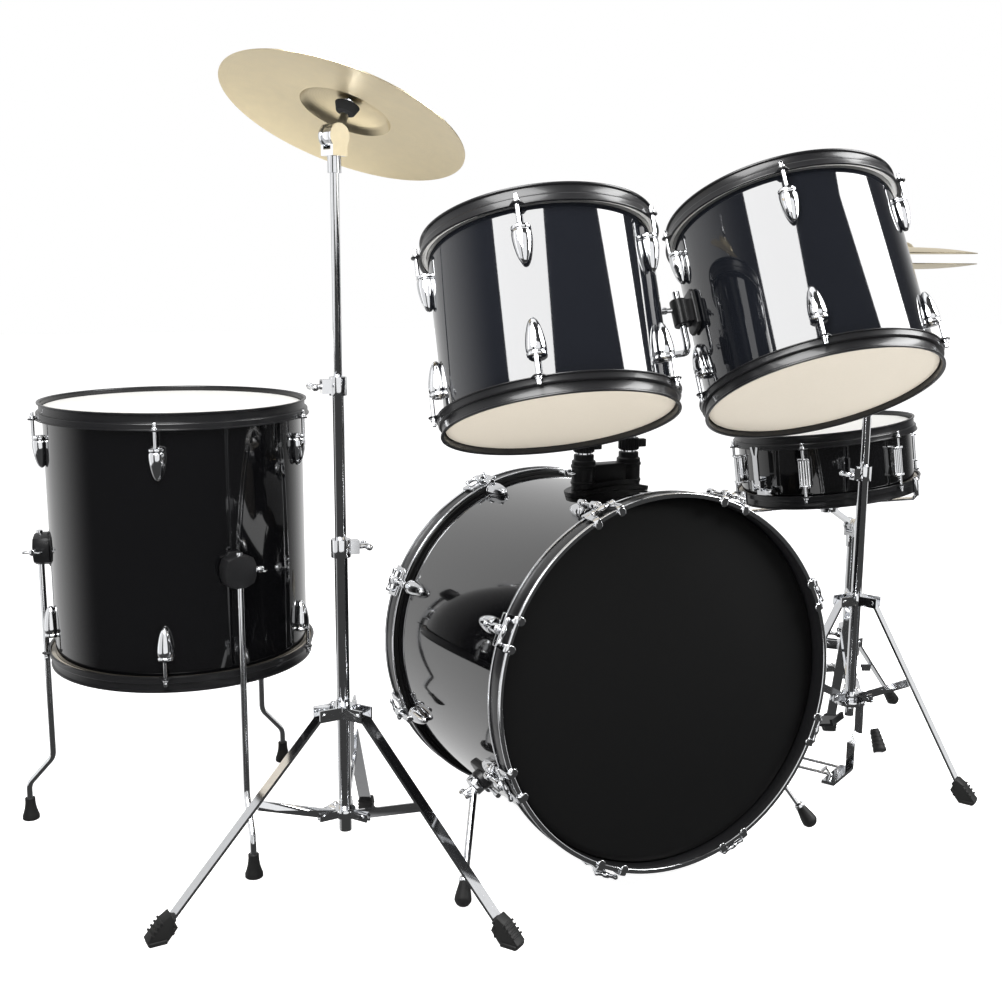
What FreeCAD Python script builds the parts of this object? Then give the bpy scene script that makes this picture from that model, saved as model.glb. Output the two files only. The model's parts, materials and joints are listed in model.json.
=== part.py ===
"""Five-drum acoustic kit with its cymbals, stands and pedals, as a parametric document.

+Z is up, +X is the audience's right and +Y points at the drummer. The origin is on the
floor, at the centre of the kit's footprint. Lengths are millimetres, angles degrees.
"""
import FreeCAD, Part
import math
import os
import types

import Sketcher
from FreeCAD import Placement, Rotation, Vector

UP = Vector(0, 0, 1)
RIGHT = Vector(1, 0, 0)
BACK = Vector(0, 1, 0)
FLIP = Placement(Vector(), Rotation(RIGHT, 180))

# The driving dimensions. Floor positions are measured from the point on the floor under
# the centre of the bass drum's front face.
DIMENSIONS = {
    "footprint_x": 17, "footprint_y": 286,
    # shells and heads, shared by all the drums
    "shell_wall": 7.5, "bearing_edge": 3, "rim_rise": 9, "film": 1, "flesh_hoop": 6,
    "hoop_sheet": 2, "hoop_height": 26, "hoop_gap": 3, "flange": 12, "ear": 7,
    "rod_circle": 15.2, "rod_radius": 2.8, "rod_hole": 3.1, "lug_length": 52, "lug_radius": 13,
    "lug_axis": 5, "lug_from_rim": 50,
    # bass drum
    "bass_radius": 279.4, "bass_depth": 456, "bass_shell": 406.4, "bass_hoop_radius": 290.5,
    "bass_hoop_width": 38, "bass_hoop_wall": 7.5, "bass_pitch": 3.4, "bass_lugs": 8,
    "claw_circle": 300, "spur_radius": 5.5, "spur_reach": 325, "spur_back": 48,
    # rack toms
    "tom_small_radius": 152.4, "tom_small_height": 272.5, "tom_small_turn": 19,
    "tom_small_x": -226, "tom_small_y": -51, "tom_small_z": 726,
    "tom_small_lean_x": 0.049, "tom_small_lean_y": 0.409,
    "tom_large_radius": 165.1, "tom_large_height": 300.5, "tom_large_turn": 19,
    "tom_large_x": 195, "tom_large_y": -71, "tom_large_z": 751,
    "tom_large_lean_x": 0.0435, "tom_large_lean_y": 0.532, "tom_lugs": 5,
    # rack tom holder
    "holder_x": -6, "holder_y": 203, "post_spacing": 82, "holder_top": 637, "post_radius": 11,
    "ratchet_small_z": 760, "ratchet_large_z": 785, "ratchet_radius": 17, "arm_radius": 5.25,
    "bracket_small_angle": 22, "bracket_large_angle": 165, "bracket_offset": 22,
    # floor tom
    "floor_radius": 203.2, "floor_height": 427, "floor_x": -612, "floor_y": 551, "floor_z": 292.1,
    "floor_turn": 35, "floor_lugs": 5, "leg_radius": 5, "leg_circle": 223, "leg_foot_circle": 269,
    "leg_first_angle": 38.5, "leg_splay": 2.9, "leg_top": 505, "leg_jog_top": 115,
    "leg_jog_bottom": 62,
    # snare drum and its stand
    "snare_radius": 165.1, "snare_height": 139.7, "snare_turn": 38, "snare_lugs": 6,
    "snare_x": 622, "snare_y": 438, "snare_z": 632, "snare_lean_x": -0.1, "snare_lean_y": 0.085,
    "snare_stand_x": 717, "snare_stand_y": 440, "snare_hub_z": 165, "snare_foot_circle": 182,
    "snare_foot_angle": 13, "snare_tube_radius": 12.7, "snare_tube_top": 208,
    "snare_pivot_z": 419, "snare_upper_radius": 9.5, "snare_brace_z": 112,
    "strainer_angle": 188, "basket_angle": 52,
    # hi-hat
    "hihat_x": 542, "hihat_y": 223, "hihat_z": 950, "hihat_radius": 165.1, "hihat_gap": 16,
    "hihat_tube_radius": 9.5, "hihat_upper_radius": 7.9, "hihat_rod_radius": 3,
    "hihat_ring_z": 149, "hihat_clamp_z": 336, "hihat_collar_z": 581, "hihat_foot_circle": 225,
    "hihat_foot_angle": -62, "hihat_pedal_angle": 118, "hihat_pedal_length": 285,
    # crash cymbal stand
    "crash_x": -460, "crash_y": 173, "crash_radius": 173, "crash_lower_radius": 9.5,
    "crash_mid_radius": 8, "crash_upper_radius": 6.2, "crash_collar_z": 546,
    "crash_collar_two_z": 778, "crash_tube_top": 1068, "crash_tilter_z": 1104,
    "crash_hub_z": 291, "crash_brace_z": 132, "crash_tube_bottom": 104,
    "crash_foot_circle": 287.5, "crash_foot_angle": 64.2, "crash_lean_x": 0.417,
    "crash_lean_y": 0.171, "cymbal_sheet": 1.4,
    # kick pedal
    "kick_axle_y": 520, "kick_axle_z": 165, "kick_half_width": 48, "kick_beater_reach": 160,
    "kick_heel_y": 760,
}

doc = FreeCAD.newDocument("drum_kit")
sheet = doc.addObject("Spreadsheet::Sheet", "kit")


class Dim:
    """A size: its number, and the formula over the spreadsheet that a feature is bound to."""

    def __init__(self, value, text):
        self.value = float(value)
        self.text = text

    def __float__(self):
        return self.value

    def __add__(self, other):
        other = dim(other)
        return Dim(self.value + other.value, f"({self.text} + {other.text})")

    def __sub__(self, other):
        other = dim(other)
        return Dim(self.value - other.value, f"({self.text} - {other.text})")

    def __mul__(self, other):
        other = dim(other)
        return Dim(self.value * other.value, f"({self.text} * {other.text})")

    def __truediv__(self, other):
        other = dim(other)
        return Dim(self.value / other.value, f"({self.text} / {other.text})")

    def __neg__(self):
        return Dim(-self.value, f"(-1 * {self.text})")


def dim(number):
    return number if isinstance(number, Dim) else Dim(number, f"({number})")


def fill_sheet():
    sizes = {}
    for row, (alias, number) in enumerate(DIMENSIONS.items(), start=1):
        sheet.set(f"A{row}", alias.replace("_", " "))
        sheet.set(f"B{row}", str(number))
        sheet.setAlias(f"B{row}", alias)
        sizes[alias] = Dim(number, f"kit.{alias}")
    doc.recompute()
    return types.SimpleNamespace(**sizes)


k = fill_sheet()


# ---------------------------------------------------------------- building blocks


def bind(thing, **sizes):
    for name, size in sizes.items():
        setattr(thing, name, float(size))
        if isinstance(size, Dim):
            thing.setExpression(name, size.text)
    return thing


def feature(kind, name, place=None):
    thing = doc.addObject(kind, name)
    if place is not None:
        thing.Placement = place
    return thing


def cylinder(radius, height, place=None):
    return bind(feature("Part::Cylinder", "cylinder", place), Radius=radius, Height=height)


def sphere(centre, radius):
    return bind(feature("Part::Sphere", "sphere", Placement(centre, Rotation())), Radius=radius)


def cone(bottom, top, height, place=None):
    return bind(feature("Part::Cone", "cone", place), Radius1=bottom, Radius2=top, Height=height)


def box(length, width, height, place=None):
    """A box centred on its place."""
    corner = Vector(-float(length) / 2, -float(width) / 2, -float(height) / 2)
    there = (place or Placement()) * Placement(corner, Rotation())
    return bind(feature("Part::Box", "box", there), Length=length, Width=width, Height=height)


def rod(start, end, radius):
    axis = end - start
    return cylinder(radius, axis.Length, Placement(start, Rotation(UP, axis)))


def bent_rod(points, radius):
    pieces = [rod(a, b, radius) for a, b in zip(points, points[1:])]
    pieces += [sphere(bend, radius) for bend in points[1:-1]]
    return fuse(*pieces)


def strip(start, end, width, thickness, face):
    """A flat bar from start to end, its broad side turned towards `face`."""
    along = end - start
    turn = Rotation(along, Vector(), face, "XZY")
    return box(along.Length, width, thickness, Placement((start + end) / 2, turn))


def fuse(*pieces):
    joined = feature("Part::MultiFuse", "joined")
    joined.Shapes = list(pieces)
    joined.Refine = True
    return joined


def group(*pieces):
    several = feature("Part::Compound", "several")
    several.Links = list(pieces)
    return several


def cut(base, *tools):
    left = feature("Part::Cut", "left")
    left.Base = base
    left.Tool = tools[0] if len(tools) == 1 else group(*tools)
    return left


def copies(seed, places):
    """Separate copies of one piece, each at a place of its own."""
    made = []
    for place in places:
        link = doc.addObject("App::Link", "copy")
        link.LinkedObject = seed
        link.LinkTransform = True
        link.Placement = place
        made.append(link)
    return group(*made)


def tube(outer, inner, height, place=None):
    bore = cylinder(inner, dim(height) + 2, Placement(Vector(0, 0, -1), Rotation()))
    pipe = cut(cylinder(outer, height), bore)
    if place is not None:
        pipe.Placement = place
    return pipe


def draw(sketch, outline):
    """One closed outline of straight lines, each corner held at its two distances."""
    corners = [Vector(float(x), float(y), 0) for x, y in outline]
    first = sketch.GeometryCount
    count = len(corners)
    for n, corner in enumerate(corners):
        sketch.addGeometry(Part.LineSegment(corner, corners[(n + 1) % count]), False)
    for n in range(count):
        joint = Sketcher.Constraint("Coincident", first + n, 2, first + (n + 1) % count, 1)
        sketch.addConstraint(joint)
    for n, corner in enumerate(outline):
        for way, distance in zip(("DistanceX", "DistanceY"), corner):
            held = Sketcher.Constraint(way, -1, 1, first + n, 1, float(distance))
            row = sketch.addConstraint(held)
            if isinstance(distance, Dim):
                sketch.setExpression(f"Constraints[{row}]", distance.text)


def sketch_on(body, role):
    sketch = body.newObject("Sketcher::SketchObject", f"{body.Name}_sketch")
    plane = next(one for one in body.Origin.OriginFeatures if one.Role == role)
    sketch.AttachmentSupport = [(plane, "")]
    sketch.MapMode = "FlatFace"
    return sketch


def lathe(name, *outlines, place=None):
    """Outlines of (radius, height) turned about the vertical axis."""
    body = feature("PartDesign::Body", name)
    body.AllowCompound = True
    sketch = sketch_on(body, "XZ_Plane")
    for outline in outlines:
        draw(sketch, outline)
    turned = body.newObject("PartDesign::Revolution", f"{name}_turned")
    turned.Profile = sketch
    turned.ReferenceAxis = (sketch, ["V_Axis"])
    turned.Angle = 360
    if place is not None:
        body.Placement = place
    return body


def plate(name, outline, thickness, place=None):
    """An outline in the XZ plane, made into a plate that is centred on that plane."""
    body = feature("PartDesign::Body", name)
    sketch = sketch_on(body, "XZ_Plane")
    draw(sketch, outline)
    pad = body.newObject("PartDesign::Pad", f"{name}_pad")
    pad.Profile = sketch
    pad.SideType = "Symmetric"
    bind(pad, Length=thickness)
    if place is not None:
        body.Placement = place
    return body


def at(x, y, z=0):
    """A point of the kit, from its distances to the foot of the bass drum's front."""
    return Vector(float(x) - float(k.footprint_x), float(y) - float(k.footprint_y), float(z))


def polar(centre, circle, angle, z):
    turn = math.radians(float(angle))
    side = Vector(math.cos(turn), math.sin(turn), 0) * float(circle)
    return Vector(centre.x + side.x, centre.y + side.y, float(z))


def frame_of(origin, up, right=RIGHT):
    return Placement(origin, Rotation(right, Vector(), up, "ZXY"))


def spin(angle):
    return Placement(Vector(), Rotation(UP, float(angle)))


def shift(x=0, y=0, z=0):
    return Placement(Vector(float(x), float(y), float(z)), Rotation())


def ring(count):
    return [spin(360 / count * n) for n in range(count)]


def both_ends(count, turn):
    """Places round a drum for what sits at its top and again, upside down, at its bottom."""
    round_it = [spin(turn) * place for place in ring(count)]
    return round_it + [place * FLIP for place in round_it]


nodes = {}


def publish(label, thing, place=None):
    thing.Label = label
    if place is not None:
        thing.Placement = place * thing.Placement
    nodes[label] = thing
    return thing


def wing_bolt(head, away, wing_span=26):
    """A bolt from `head` along `away`, with two rounded wings at its outer end."""
    end = head + away * 15
    across = away.cross(UP)
    if across.Length < 0.5:
        across = away.cross(RIGHT)
    across.normalize()
    half = across * (wing_span / 2)
    wings = strip(end - half, end + half, 11, 3.4, away.cross(across))
    tips = [sphere(end + side, 5) for side in (half, -half)]
    return fuse(rod(head, end, 4), wings, *tips)


# ---------------------------------------------------------------- drums


def tom_shell(name, radius, edge):
    """A shell whose bearing edges are chamfered inwards, `edge` above and below the middle."""
    inner = radius - k.shell_wall
    top = dim(edge)
    return lathe(
        name,
        [
            (inner, -(top - k.bearing_edge)), (radius - 1.5, -top), (radius, -top),
            (radius, top), (radius - 1.5, top), (inner, top - k.bearing_edge),
        ],
    )


def drum_head(name, radius, edge):
    """The film over the bearing edge, its collar and the flesh hoop that it is glued into."""
    near = radius + 0.4
    film_top = edge + k.film
    flesh_top = edge - 8
    flesh_bottom = flesh_top - k.flesh_hoop
    far = radius + 7.4
    return lathe(
        name,
        [
            (0, edge), (near, edge), (near, flesh_bottom), (far, flesh_bottom),
            (far, flesh_top), (near + 1.2, flesh_top), (near + 1.2, film_top), (0, film_top),
        ],
    )


def flanged_hoop(name, radius, rim, lugs):
    """A pressed counter hoop: lip, band, step over the flesh hoop, skirt and ears."""
    step = rim - k.rim_rise - 8
    band = radius + k.hoop_gap
    skirt = radius + 7.8
    foot = rim - k.hoop_height
    turned = lathe(
        name,
        [
            (band, step), (band, rim - 2), (band + 1.2, rim), (radius + 8.1, rim),
            (radius + 8.1, rim - 2.2), (band + k.hoop_sheet, rim - 3.4),
            (band + k.hoop_sheet, step + k.hoop_sheet), (skirt + 0.6, step + k.hoop_sheet),
            (skirt + k.hoop_sheet, step + 0.4), (skirt + k.hoop_sheet, foot + k.hoop_sheet),
            (radius + k.flange, foot + k.hoop_sheet), (radius + k.flange, foot), (skirt, foot),
            (skirt, step),
        ],
    )
    circle = radius + k.rod_circle
    ear = cylinder(k.ear, k.hoop_sheet, shift(circle, 0, foot))
    web = box(12, 14, k.hoop_sheet, shift(float(radius) + 15, 0, float(foot + k.hoop_sheet / 2)))
    hole = cylinder(k.rod_hole, 8, shift(circle, 0, float(foot) - 3))
    room = cylinder(skirt, k.hoop_height, shift(0, 0, float(foot) - 8))
    ears = cut(copies(fuse(ear, web), ring(lugs)), room)
    return cut(fuse(turned, ears), copies(hole, ring(lugs)))


def drop_lug(name, radius, top):
    """A drop-shaped casting on the shell, its broad end towards the hoop."""
    broad = k.lug_radius
    length = k.lug_length
    body = lathe(
        name,
        [
            (0, 0), (broad - 3, 0), (broad - 0.8, -1.2), (broad, -4), (broad, -12),
            (broad - 0.8, -22), (broad - 2.6, -32), (broad * 0.6, -length * 0.82),
            (broad * 0.32, -length * 0.96), (0, -length),
        ],
    )
    body.Placement = shift(radius + k.lug_axis, 0, top)
    core = cylinder(radius, length * 1.2, shift(0, 0, float(top - length * 1.1)))
    return cut(body, core)


def double_lug(radius):
    """A ribbed lug that takes a tension rod at each end, on a shallow shell."""
    half = 27
    block = box(20, 22, 2 * half, shift(float(radius) + 8, 0, 0))
    groove = cylinder(2.2, 2 * half - 12, shift(float(radius) + 18.6, 0, 6 - half))
    grooves = copies(groove, [shift(0, side, 0) for side in (-5.5, 0, 5.5)])
    core = cylinder(radius, 3 * half, shift(0, 0, -1.5 * half))
    return cut(block, grooves, core)


def tension_rod(name, radius, rim, lug_end):
    """A rod from the lug up through the hoop's ear, with its washer and square-cut head."""
    seat = rim - k.hoop_height + k.hoop_sheet
    turned = lathe(
        name,
        [
            (0, lug_end), (k.rod_radius, lug_end), (k.rod_radius, seat), (5.2, seat),
            (5.2, seat + 1.2), (4.4, seat + 1.2), (4.4, seat + 4), (3.4, seat + 4),
            (3.4, seat + 11), (0, seat + 11),
        ],
    )
    turned.Placement = shift(radius + k.rod_circle, 0, 0)
    return turned


def drum(prefix, radius, height, lugs, turn, shallow=False):
    """The pieces of one drum, in a frame at the middle of its axis."""
    rim = height / 2
    edge = rim - k.rim_rise
    lug_end = Dim(27, "(27)") if shallow else rim - k.lug_from_rim
    places = both_ends(lugs, turn)
    lug = double_lug(radius) if shallow else drop_lug(f"{prefix}_lug", radius, lug_end)
    ends = [spin(turn), spin(turn) * FLIP]
    whole_lugs = [spin(turn) * place for place in ring(lugs)] if shallow else places
    return {
        "shell": tom_shell(f"{prefix}_body", radius, edge),
        "heads": copies(drum_head(f"{prefix}_head", radius, edge), ends),
        "hoops": copies(flanged_hoop(f"{prefix}_hoop", radius, rim, lugs), ends),
        "lugs": copies(lug, whole_lugs),
        "tension_rods": copies(tension_rod(f"{prefix}_rod", radius, rim, lug_end), places),
    }


def publish_drum(prefix, pieces, frame):
    for name, piece in pieces.items():
        publish(f"{prefix}_{name}", piece, frame)


def drum_frame(x, y, z, lean_x, lean_y, rise):
    """The frame at the middle of a leaning drum, from the centre of one of its rims."""
    up = Vector(float(lean_x), float(lean_y), 1).normalize()
    return frame_of(at(x, y, z) + up * float(rise), up)


# ---------------------------------------------------------------- bass drum

BASS_LUGS = int(k.bass_lugs.value)
PITCH = math.radians(float(k.bass_pitch))
BASS_AXIS = Vector(0, -math.cos(PITCH), math.sin(PITCH))
BASS_FRONT_Z = float(k.bass_hoop_radius) * math.cos(PITCH) + float(k.bass_depth) * math.sin(PITCH)
BASS_FRAME = frame_of(at(0, 0, BASS_FRONT_Z) - BASS_AXIS * (float(k.bass_depth) / 2), BASS_AXIS)
BASS_TURN = 22.5


def bass_hoop():
    """A wide hoop with a rolled bead on each edge, stepped inside to press the flesh hoop."""
    rim = k.bass_depth / 2
    outer = k.bass_hoop_radius
    back = rim - k.bass_hoop_width
    inner = outer - k.bass_hoop_wall
    step = k.bass_shell / 2 - 7
    bead = 4
    return lathe(
        "bass_hoop",
        [
            (inner, step), (inner, rim), (outer, rim), (outer, rim - bead),
            (outer - 1.4, rim - bead), (outer - 1.4, back + bead), (outer, back + bead),
            (outer, back), (inner + 3.2, back), (inner + 3.2, step),
        ],
    )


def bass_head(name):
    radius = k.bass_radius
    edge = k.bass_shell / 2
    near = radius + 0.4
    far = radius + 6
    flesh_top = edge - 7.2
    return lathe(
        name,
        [
            (0, edge), (near, edge), (near, flesh_top - 6), (far, flesh_top - 6),
            (far, flesh_top), (near + 1.2, flesh_top), (near + 1.2, edge + k.film),
            (0, edge + k.film),
        ],
    )


def claw():
    """A two-pronged hook over the hoop's edge, with the T-headed rod that draws it back."""
    rim = float(k.bass_depth) / 2
    outer = float(k.bass_hoop_radius)
    circle = k.claw_circle
    low = rim - float(k.bass_hoop_width)
    pieces = [box(5, 54, 13, shift(outer + 2.8, 0, low + 8))]
    for side in (-21, 21):
        pieces.append(box(4, 12, rim - low + 1, shift(outer + 2.3, side, (rim + low) / 2 + 2)))
        pieces.append(box(11, 12, 3.4, shift(outer - 1.2, side, rim + 1.8)))
        pieces.append(cylinder(7, 3.4, shift(outer - 6.5, side, rim + 0.1)))
    pieces.append(cylinder(7.5, 15, shift(circle, 0, low + 1)))
    bore = cylinder(k.rod_hole, 60, shift(circle, 0, low - 20))
    return cut(fuse(*pieces), bore)


def claw_rod():
    low = float(k.bass_depth) / 2 - float(k.bass_hoop_width)
    start = Vector(float(k.claw_circle), 0, low - 24)
    head = Vector(float(k.claw_circle), 0, low + 30)
    stem = rod(start, head, k.rod_radius)
    collar = cylinder(5.6, 5, shift(k.claw_circle, 0, low + 16.2))
    bar = rod(head - Vector(0, 17, 0), head + Vector(0, 17, 0), 3.2)
    tips = [sphere(head + Vector(0, side, 0), 4.2) for side in (-17, 17)]
    return fuse(stem, collar, bar, *tips)


def bass_lug():
    """A drop lug whose stand-off carries the claw rod clear of the hoop."""
    radius = k.bass_radius
    top = float(k.bass_depth) / 2 - float(k.bass_hoop_width) - 24
    body = drop_lug("bass_lug_drop", radius, dim(top))
    arm = cylinder(5.6, 13, shift(k.claw_circle, 0, top - 13))
    web = box(14, 9, 11, shift(float(radius) + 14, 0, top - 6.5))
    return fuse(body, arm, web)


def build_bass():
    edge = k.bass_shell / 2
    places = both_ends(BASS_LUGS, BASS_TURN)
    ends = [Placement(), FLIP]
    publish("bass_shell", tom_shell("bass_body", k.bass_radius, edge), BASS_FRAME)
    publish("bass_hoops", copies(bass_hoop(), ends), BASS_FRAME)
    publish("bass_heads", copies(bass_head("bass_head"), ends), BASS_FRAME)
    publish("bass_lugs", copies(bass_lug(), places), BASS_FRAME)
    publish("bass_claws", copies(group(claw(), claw_rod()), places), BASS_FRAME)


# The spurs: a bracket low on each side of the shell, and a rod that folds on it.
SPUR_ALONG = 68
SPUR_ANGLE = -32


def spur_frame(side):
    """On the shell, X away from the drum's axis, Z along the axis towards the front."""
    angle = SPUR_ANGLE if side > 0 else 180 - SPUR_ANGLE
    turn = Placement(Vector(0, 0, SPUR_ALONG), Rotation(UP, angle))
    return BASS_FRAME * turn * shift(float(k.bass_radius), 0, 0)


def spur_pivot(side):
    return spur_frame(side).multVec(Vector(26, 0, 0))


def spur_foot(side):
    return at(side * float(k.spur_reach), float(k.spur_back), 0)


def spur_bracket(side):
    frame = spur_frame(side)
    base = box(14, 44, 74, frame * shift(4, 0, 0))
    hub = cylinder(17, 15, frame * Placement(Vector(10.5, 0, 0), Rotation(BACK, 90)) * shift(0, 0, -8))
    drum_core = cylinder(k.bass_radius, 300, BASS_FRAME * shift(0, 0, SPUR_ALONG - 150))
    return cut(fuse(base, hub), drum_core)


def spur(side):
    """A folding rod with its boss on the pivot, a collar and a pointed rubber foot."""
    frame = spur_frame(side)
    pivot = spur_pivot(side)
    foot = spur_foot(side)
    along = (foot - pivot).normalize()
    boss = cylinder(16, 13, frame * Placement(Vector(17.8, 0, 0), Rotation(BACK, 90)))
    knob = wing_bolt(frame.multVec(Vector(30, 0, 0)), frame.Rotation.multVec(RIGHT), 22)
    tip = foot + UP * 5 - along * 6
    low = tip - along * 34
    stem = rod(pivot, low, k.spur_radius)
    collar = rod(low - along * 8, low, 9)
    rubber = cone(8, 13, 26, Placement(low, Rotation(UP, along)))
    point = cone(13, 5, 12, Placement(low + along * 26, Rotation(UP, along)))
    ground = box(80, 80, 40, Placement(Vector(foot.x, foot.y, -20), Rotation()))
    return cut(fuse(boss, knob, stem, collar, rubber, point), ground)


def build_spurs():
    publish("spur_brackets", group(spur_bracket(-1), spur_bracket(1)))
    for name, side in (("spur_left", -1), ("spur_right", 1)):
        publish(name, spur(side))


# ---------------------------------------------------------------- rack toms and their holder

SMALL_FRAME = drum_frame(k.tom_small_x, k.tom_small_y, k.tom_small_z, k.tom_small_lean_x,
                         k.tom_small_lean_y, k.tom_small_height / 2)
LARGE_FRAME = drum_frame(k.tom_large_x, k.tom_large_y, k.tom_large_z, k.tom_large_lean_x,
                         k.tom_large_lean_y, k.tom_large_height / 2)


def post_foot(side):
    return at(k.holder_x + k.post_spacing * (side / 2), k.holder_y, k.holder_top)


def ratchet_centre(side):
    foot = post_foot(side)
    return Vector(foot.x, foot.y, float(k.ratchet_small_z if side < 0 else k.ratchet_large_z))


def holder_base():
    """A casting on the shell's top with two upright sockets for the posts."""
    centre = at(k.holder_x, k.holder_y, 0)
    top = float(k.holder_top)
    half = float(k.post_spacing) / 2
    pieces = []
    for side in (-1, 1):
        foot = post_foot(side)
        pieces.append(cylinder(19, 82, Placement(foot - UP * 82, Rotation())))
        outward = Vector(0.15, 1, 0) if side > 0 else Vector(-1, -0.15, 0)
        outward.normalize()
        pieces.append(wing_bolt(foot + outward * 17 - UP * 22, outward, 24))
        pieces.append(cylinder(16, 5, Placement(foot, Rotation())))
    pieces.append(box(2 * half, 30, 62, Placement(centre + UP * (top - 41), Rotation())))
    pieces.append(box(150, 66, 34, Placement(centre + UP * (top - 60), Rotation())))
    core = cylinder(k.bass_radius, 400, BASS_FRAME * shift(0, 0, -200))
    cap = cylinder(k.bass_radius + 8, 400, BASS_FRAME * shift(0, 0, -200))
    flange = cut(pieces.pop(), core)
    trimmed = feature("Part::Common", "trimmed")
    trimmed.Base = flange
    trimmed.Tool = cap
    body = cut(fuse(*pieces), core)
    bores = [
        cylinder(k.post_radius + 0.05, 80, Placement(post_foot(side) - UP * 60, Rotation()))
        for side in (-1, 1)
    ]
    return cut(fuse(body, trimmed), *bores)


def holder_post(side):
    """A post that turns in its socket, with a memory collar and the fork of its ratchet."""
    foot = post_foot(side)
    centre = ratchet_centre(side)
    collar_at = foot + UP * 8
    collar = cylinder(17, 20, Placement(collar_at, Rotation()))
    lug = box(22, 12, 14, Placement(collar_at + Vector(20, 0, 10), Rotation()))
    neck = rod(foot - UP * 52, centre - UP * 18, k.post_radius)
    cheeks = [
        rod(centre + RIGHT * sign * 9.3, centre + RIGHT * sign * 16, k.ratchet_radius)
        for sign in (-1, 1)
    ]
    yoke = box(32, 22, 10, Placement(centre - UP * 22, Rotation()))
    webs = [
        box(6.7, 22, 16, Placement(centre + RIGHT * sign * 12.65 - UP * 14, Rotation()))
        for sign in (-1, 1)
    ]
    return fuse(neck, collar, lug, yoke, *cheeks, *webs)


def bracket_frame(frame, radius, angle):
    """At the middle of the shell's side: X away from the drum, Z along the drum."""
    return frame * spin(angle) * shift(float(radius), 0, 0)


def tom_bracket(frame, radius, angle):
    """A casting on the shell that grips the upright end of the arm."""
    here = bracket_frame(frame, radius, angle)
    foot_plate = box(12, 44, 66, here * shift(2, 0, 0))
    middle = box(22, 30, 34, here * shift(10, 0, 0))
    barrel = cylinder(12.5, 40, here * shift(k.bracket_offset, 0, -20))
    outward = here.Rotation.multVec(RIGHT)
    bolt = wing_bolt(here.multVec(Vector(float(k.bracket_offset) + 11, 0, 6)), outward, 22)
    core = cylinder(radius, 200, frame * shift(0, 0, -100))
    bore = cylinder(k.arm_radius + 0.05, 60, here * shift(k.bracket_offset, 0, -30))
    return cut(fuse(foot_plate, middle, barrel, bolt), core, bore)


def tom_arm(side, frame, radius, angle):
    """The bent rod from the ratchet up through the bracket, with the ratchet's tongue."""
    here = bracket_frame(frame, radius, angle)
    offset = float(k.bracket_offset)
    centre = ratchet_centre(side)
    elbow = here.multVec(Vector(offset, 0, -62))
    arm = bent_rod([here.multVec(Vector(offset, 0, 34)), elbow, centre], k.arm_radius)
    tongue = rod(centre - RIGHT * 9, centre + RIGHT * 9, k.ratchet_radius - 1)
    sleeve_end = centre + (elbow - centre).normalize() * 30
    sleeve = rod(centre, sleeve_end, 6.8)
    return fuse(arm, tongue, sleeve)


RACK_TOMS = [
    ("tom_small", -1, SMALL_FRAME, k.tom_small_radius, k.tom_small_height, k.tom_small_turn,
     k.bracket_small_angle),
    ("tom_large", 1, LARGE_FRAME, k.tom_large_radius, k.tom_large_height, k.tom_large_turn,
     k.bracket_large_angle),
]


def build_rack():
    publish("tom_holder_base", holder_base())
    lugs = int(k.tom_lugs.value)
    for prefix, side, frame, radius, height, turn, angle in RACK_TOMS:
        publish_drum(prefix, drum(prefix, radius, height, lugs, turn), frame)
        publish(f"{prefix}_post", holder_post(side))
        publish(f"{prefix}_bracket", tom_bracket(frame, radius, angle))
        publish(f"{prefix}_arm", tom_arm(side, frame, radius, angle))


# ---------------------------------------------------------------- floor tom

FLOOR_CENTRE = at(k.floor_x, k.floor_y, 0)
FLOOR_FRAME = Placement(FLOOR_CENTRE + UP * float(k.floor_z + k.floor_height / 2), Rotation())
LEG_ANGLES = [float(k.leg_first_angle) + 120 * n for n in range(3)]
BRACKET_Z = 475


def rubber_foot(centre):
    """A bell-shaped rubber foot that stands on the floor."""
    outline = [(0, 0), (14, 0), (14, 6), (11.5, 13), (9.4, 22), (8.4, 31), (8.4, 38), (0, 38)]
    return lathe("floor_foot", outline, place=Placement(centre, Rotation()))


def floor_leg(angle):
    """A bent rod: straight down beside the shell, out on a slant, and straight down again."""
    near = k.leg_circle
    far = k.leg_foot_circle
    above = angle + float(k.leg_splay)
    points = [
        polar(FLOOR_CENTRE, near, above, k.leg_top),
        polar(FLOOR_CENTRE, near, above, k.leg_jog_top),
        polar(FLOOR_CENTRE, far, angle, k.leg_jog_bottom),
        polar(FLOOR_CENTRE, far, angle, 12),
    ]
    return bent_rod(points, k.leg_radius)


def leg_bracket(angle):
    """A casting on the shell that grips the leg, with its wing bolt."""
    above = angle + float(k.leg_splay)
    here = Placement(polar(FLOOR_CENTRE, k.floor_radius, above, BRACKET_Z), Rotation(UP, above))
    offset = float(k.leg_circle - k.floor_radius)
    foot_plate = box(10, 44, 60, here * shift(1, 0, 0))
    outline = [(-21, -5), (-8, -26), (8, -26), (21, -5), (21, 5), (8, 26), (-8, 26), (-21, 5)]
    clamp = plate("leg_clamp", outline, 28, here * shift(14, 0, 0) * spin(90))
    outward = here.Rotation.multVec(Vector(0.15, 1, 0).normalize())
    bolt = wing_bolt(here.multVec(Vector(offset, 0, 0)) + outward * 19, outward)
    core = cylinder(k.floor_radius, 200, Placement(FLOOR_CENTRE + UP * 380, Rotation()))
    bore = cylinder(k.leg_radius + 0.05, 80, here * shift(offset, 0, -40))
    return cut(fuse(foot_plate, clamp, bolt), core, bore)


def build_floor_tom():
    lugs = int(k.floor_lugs.value)
    pieces = drum("floor_tom", k.floor_radius, k.floor_height, lugs, k.floor_turn)
    publish_drum("floor_tom", pieces, FLOOR_FRAME)
    publish("floor_tom_leg_brackets", group(*[leg_bracket(angle) for angle in LEG_ANGLES]))
    publish("floor_tom_legs", group(*[floor_leg(angle) for angle in LEG_ANGLES]))


# ---------------------------------------------------------------- stands


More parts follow.
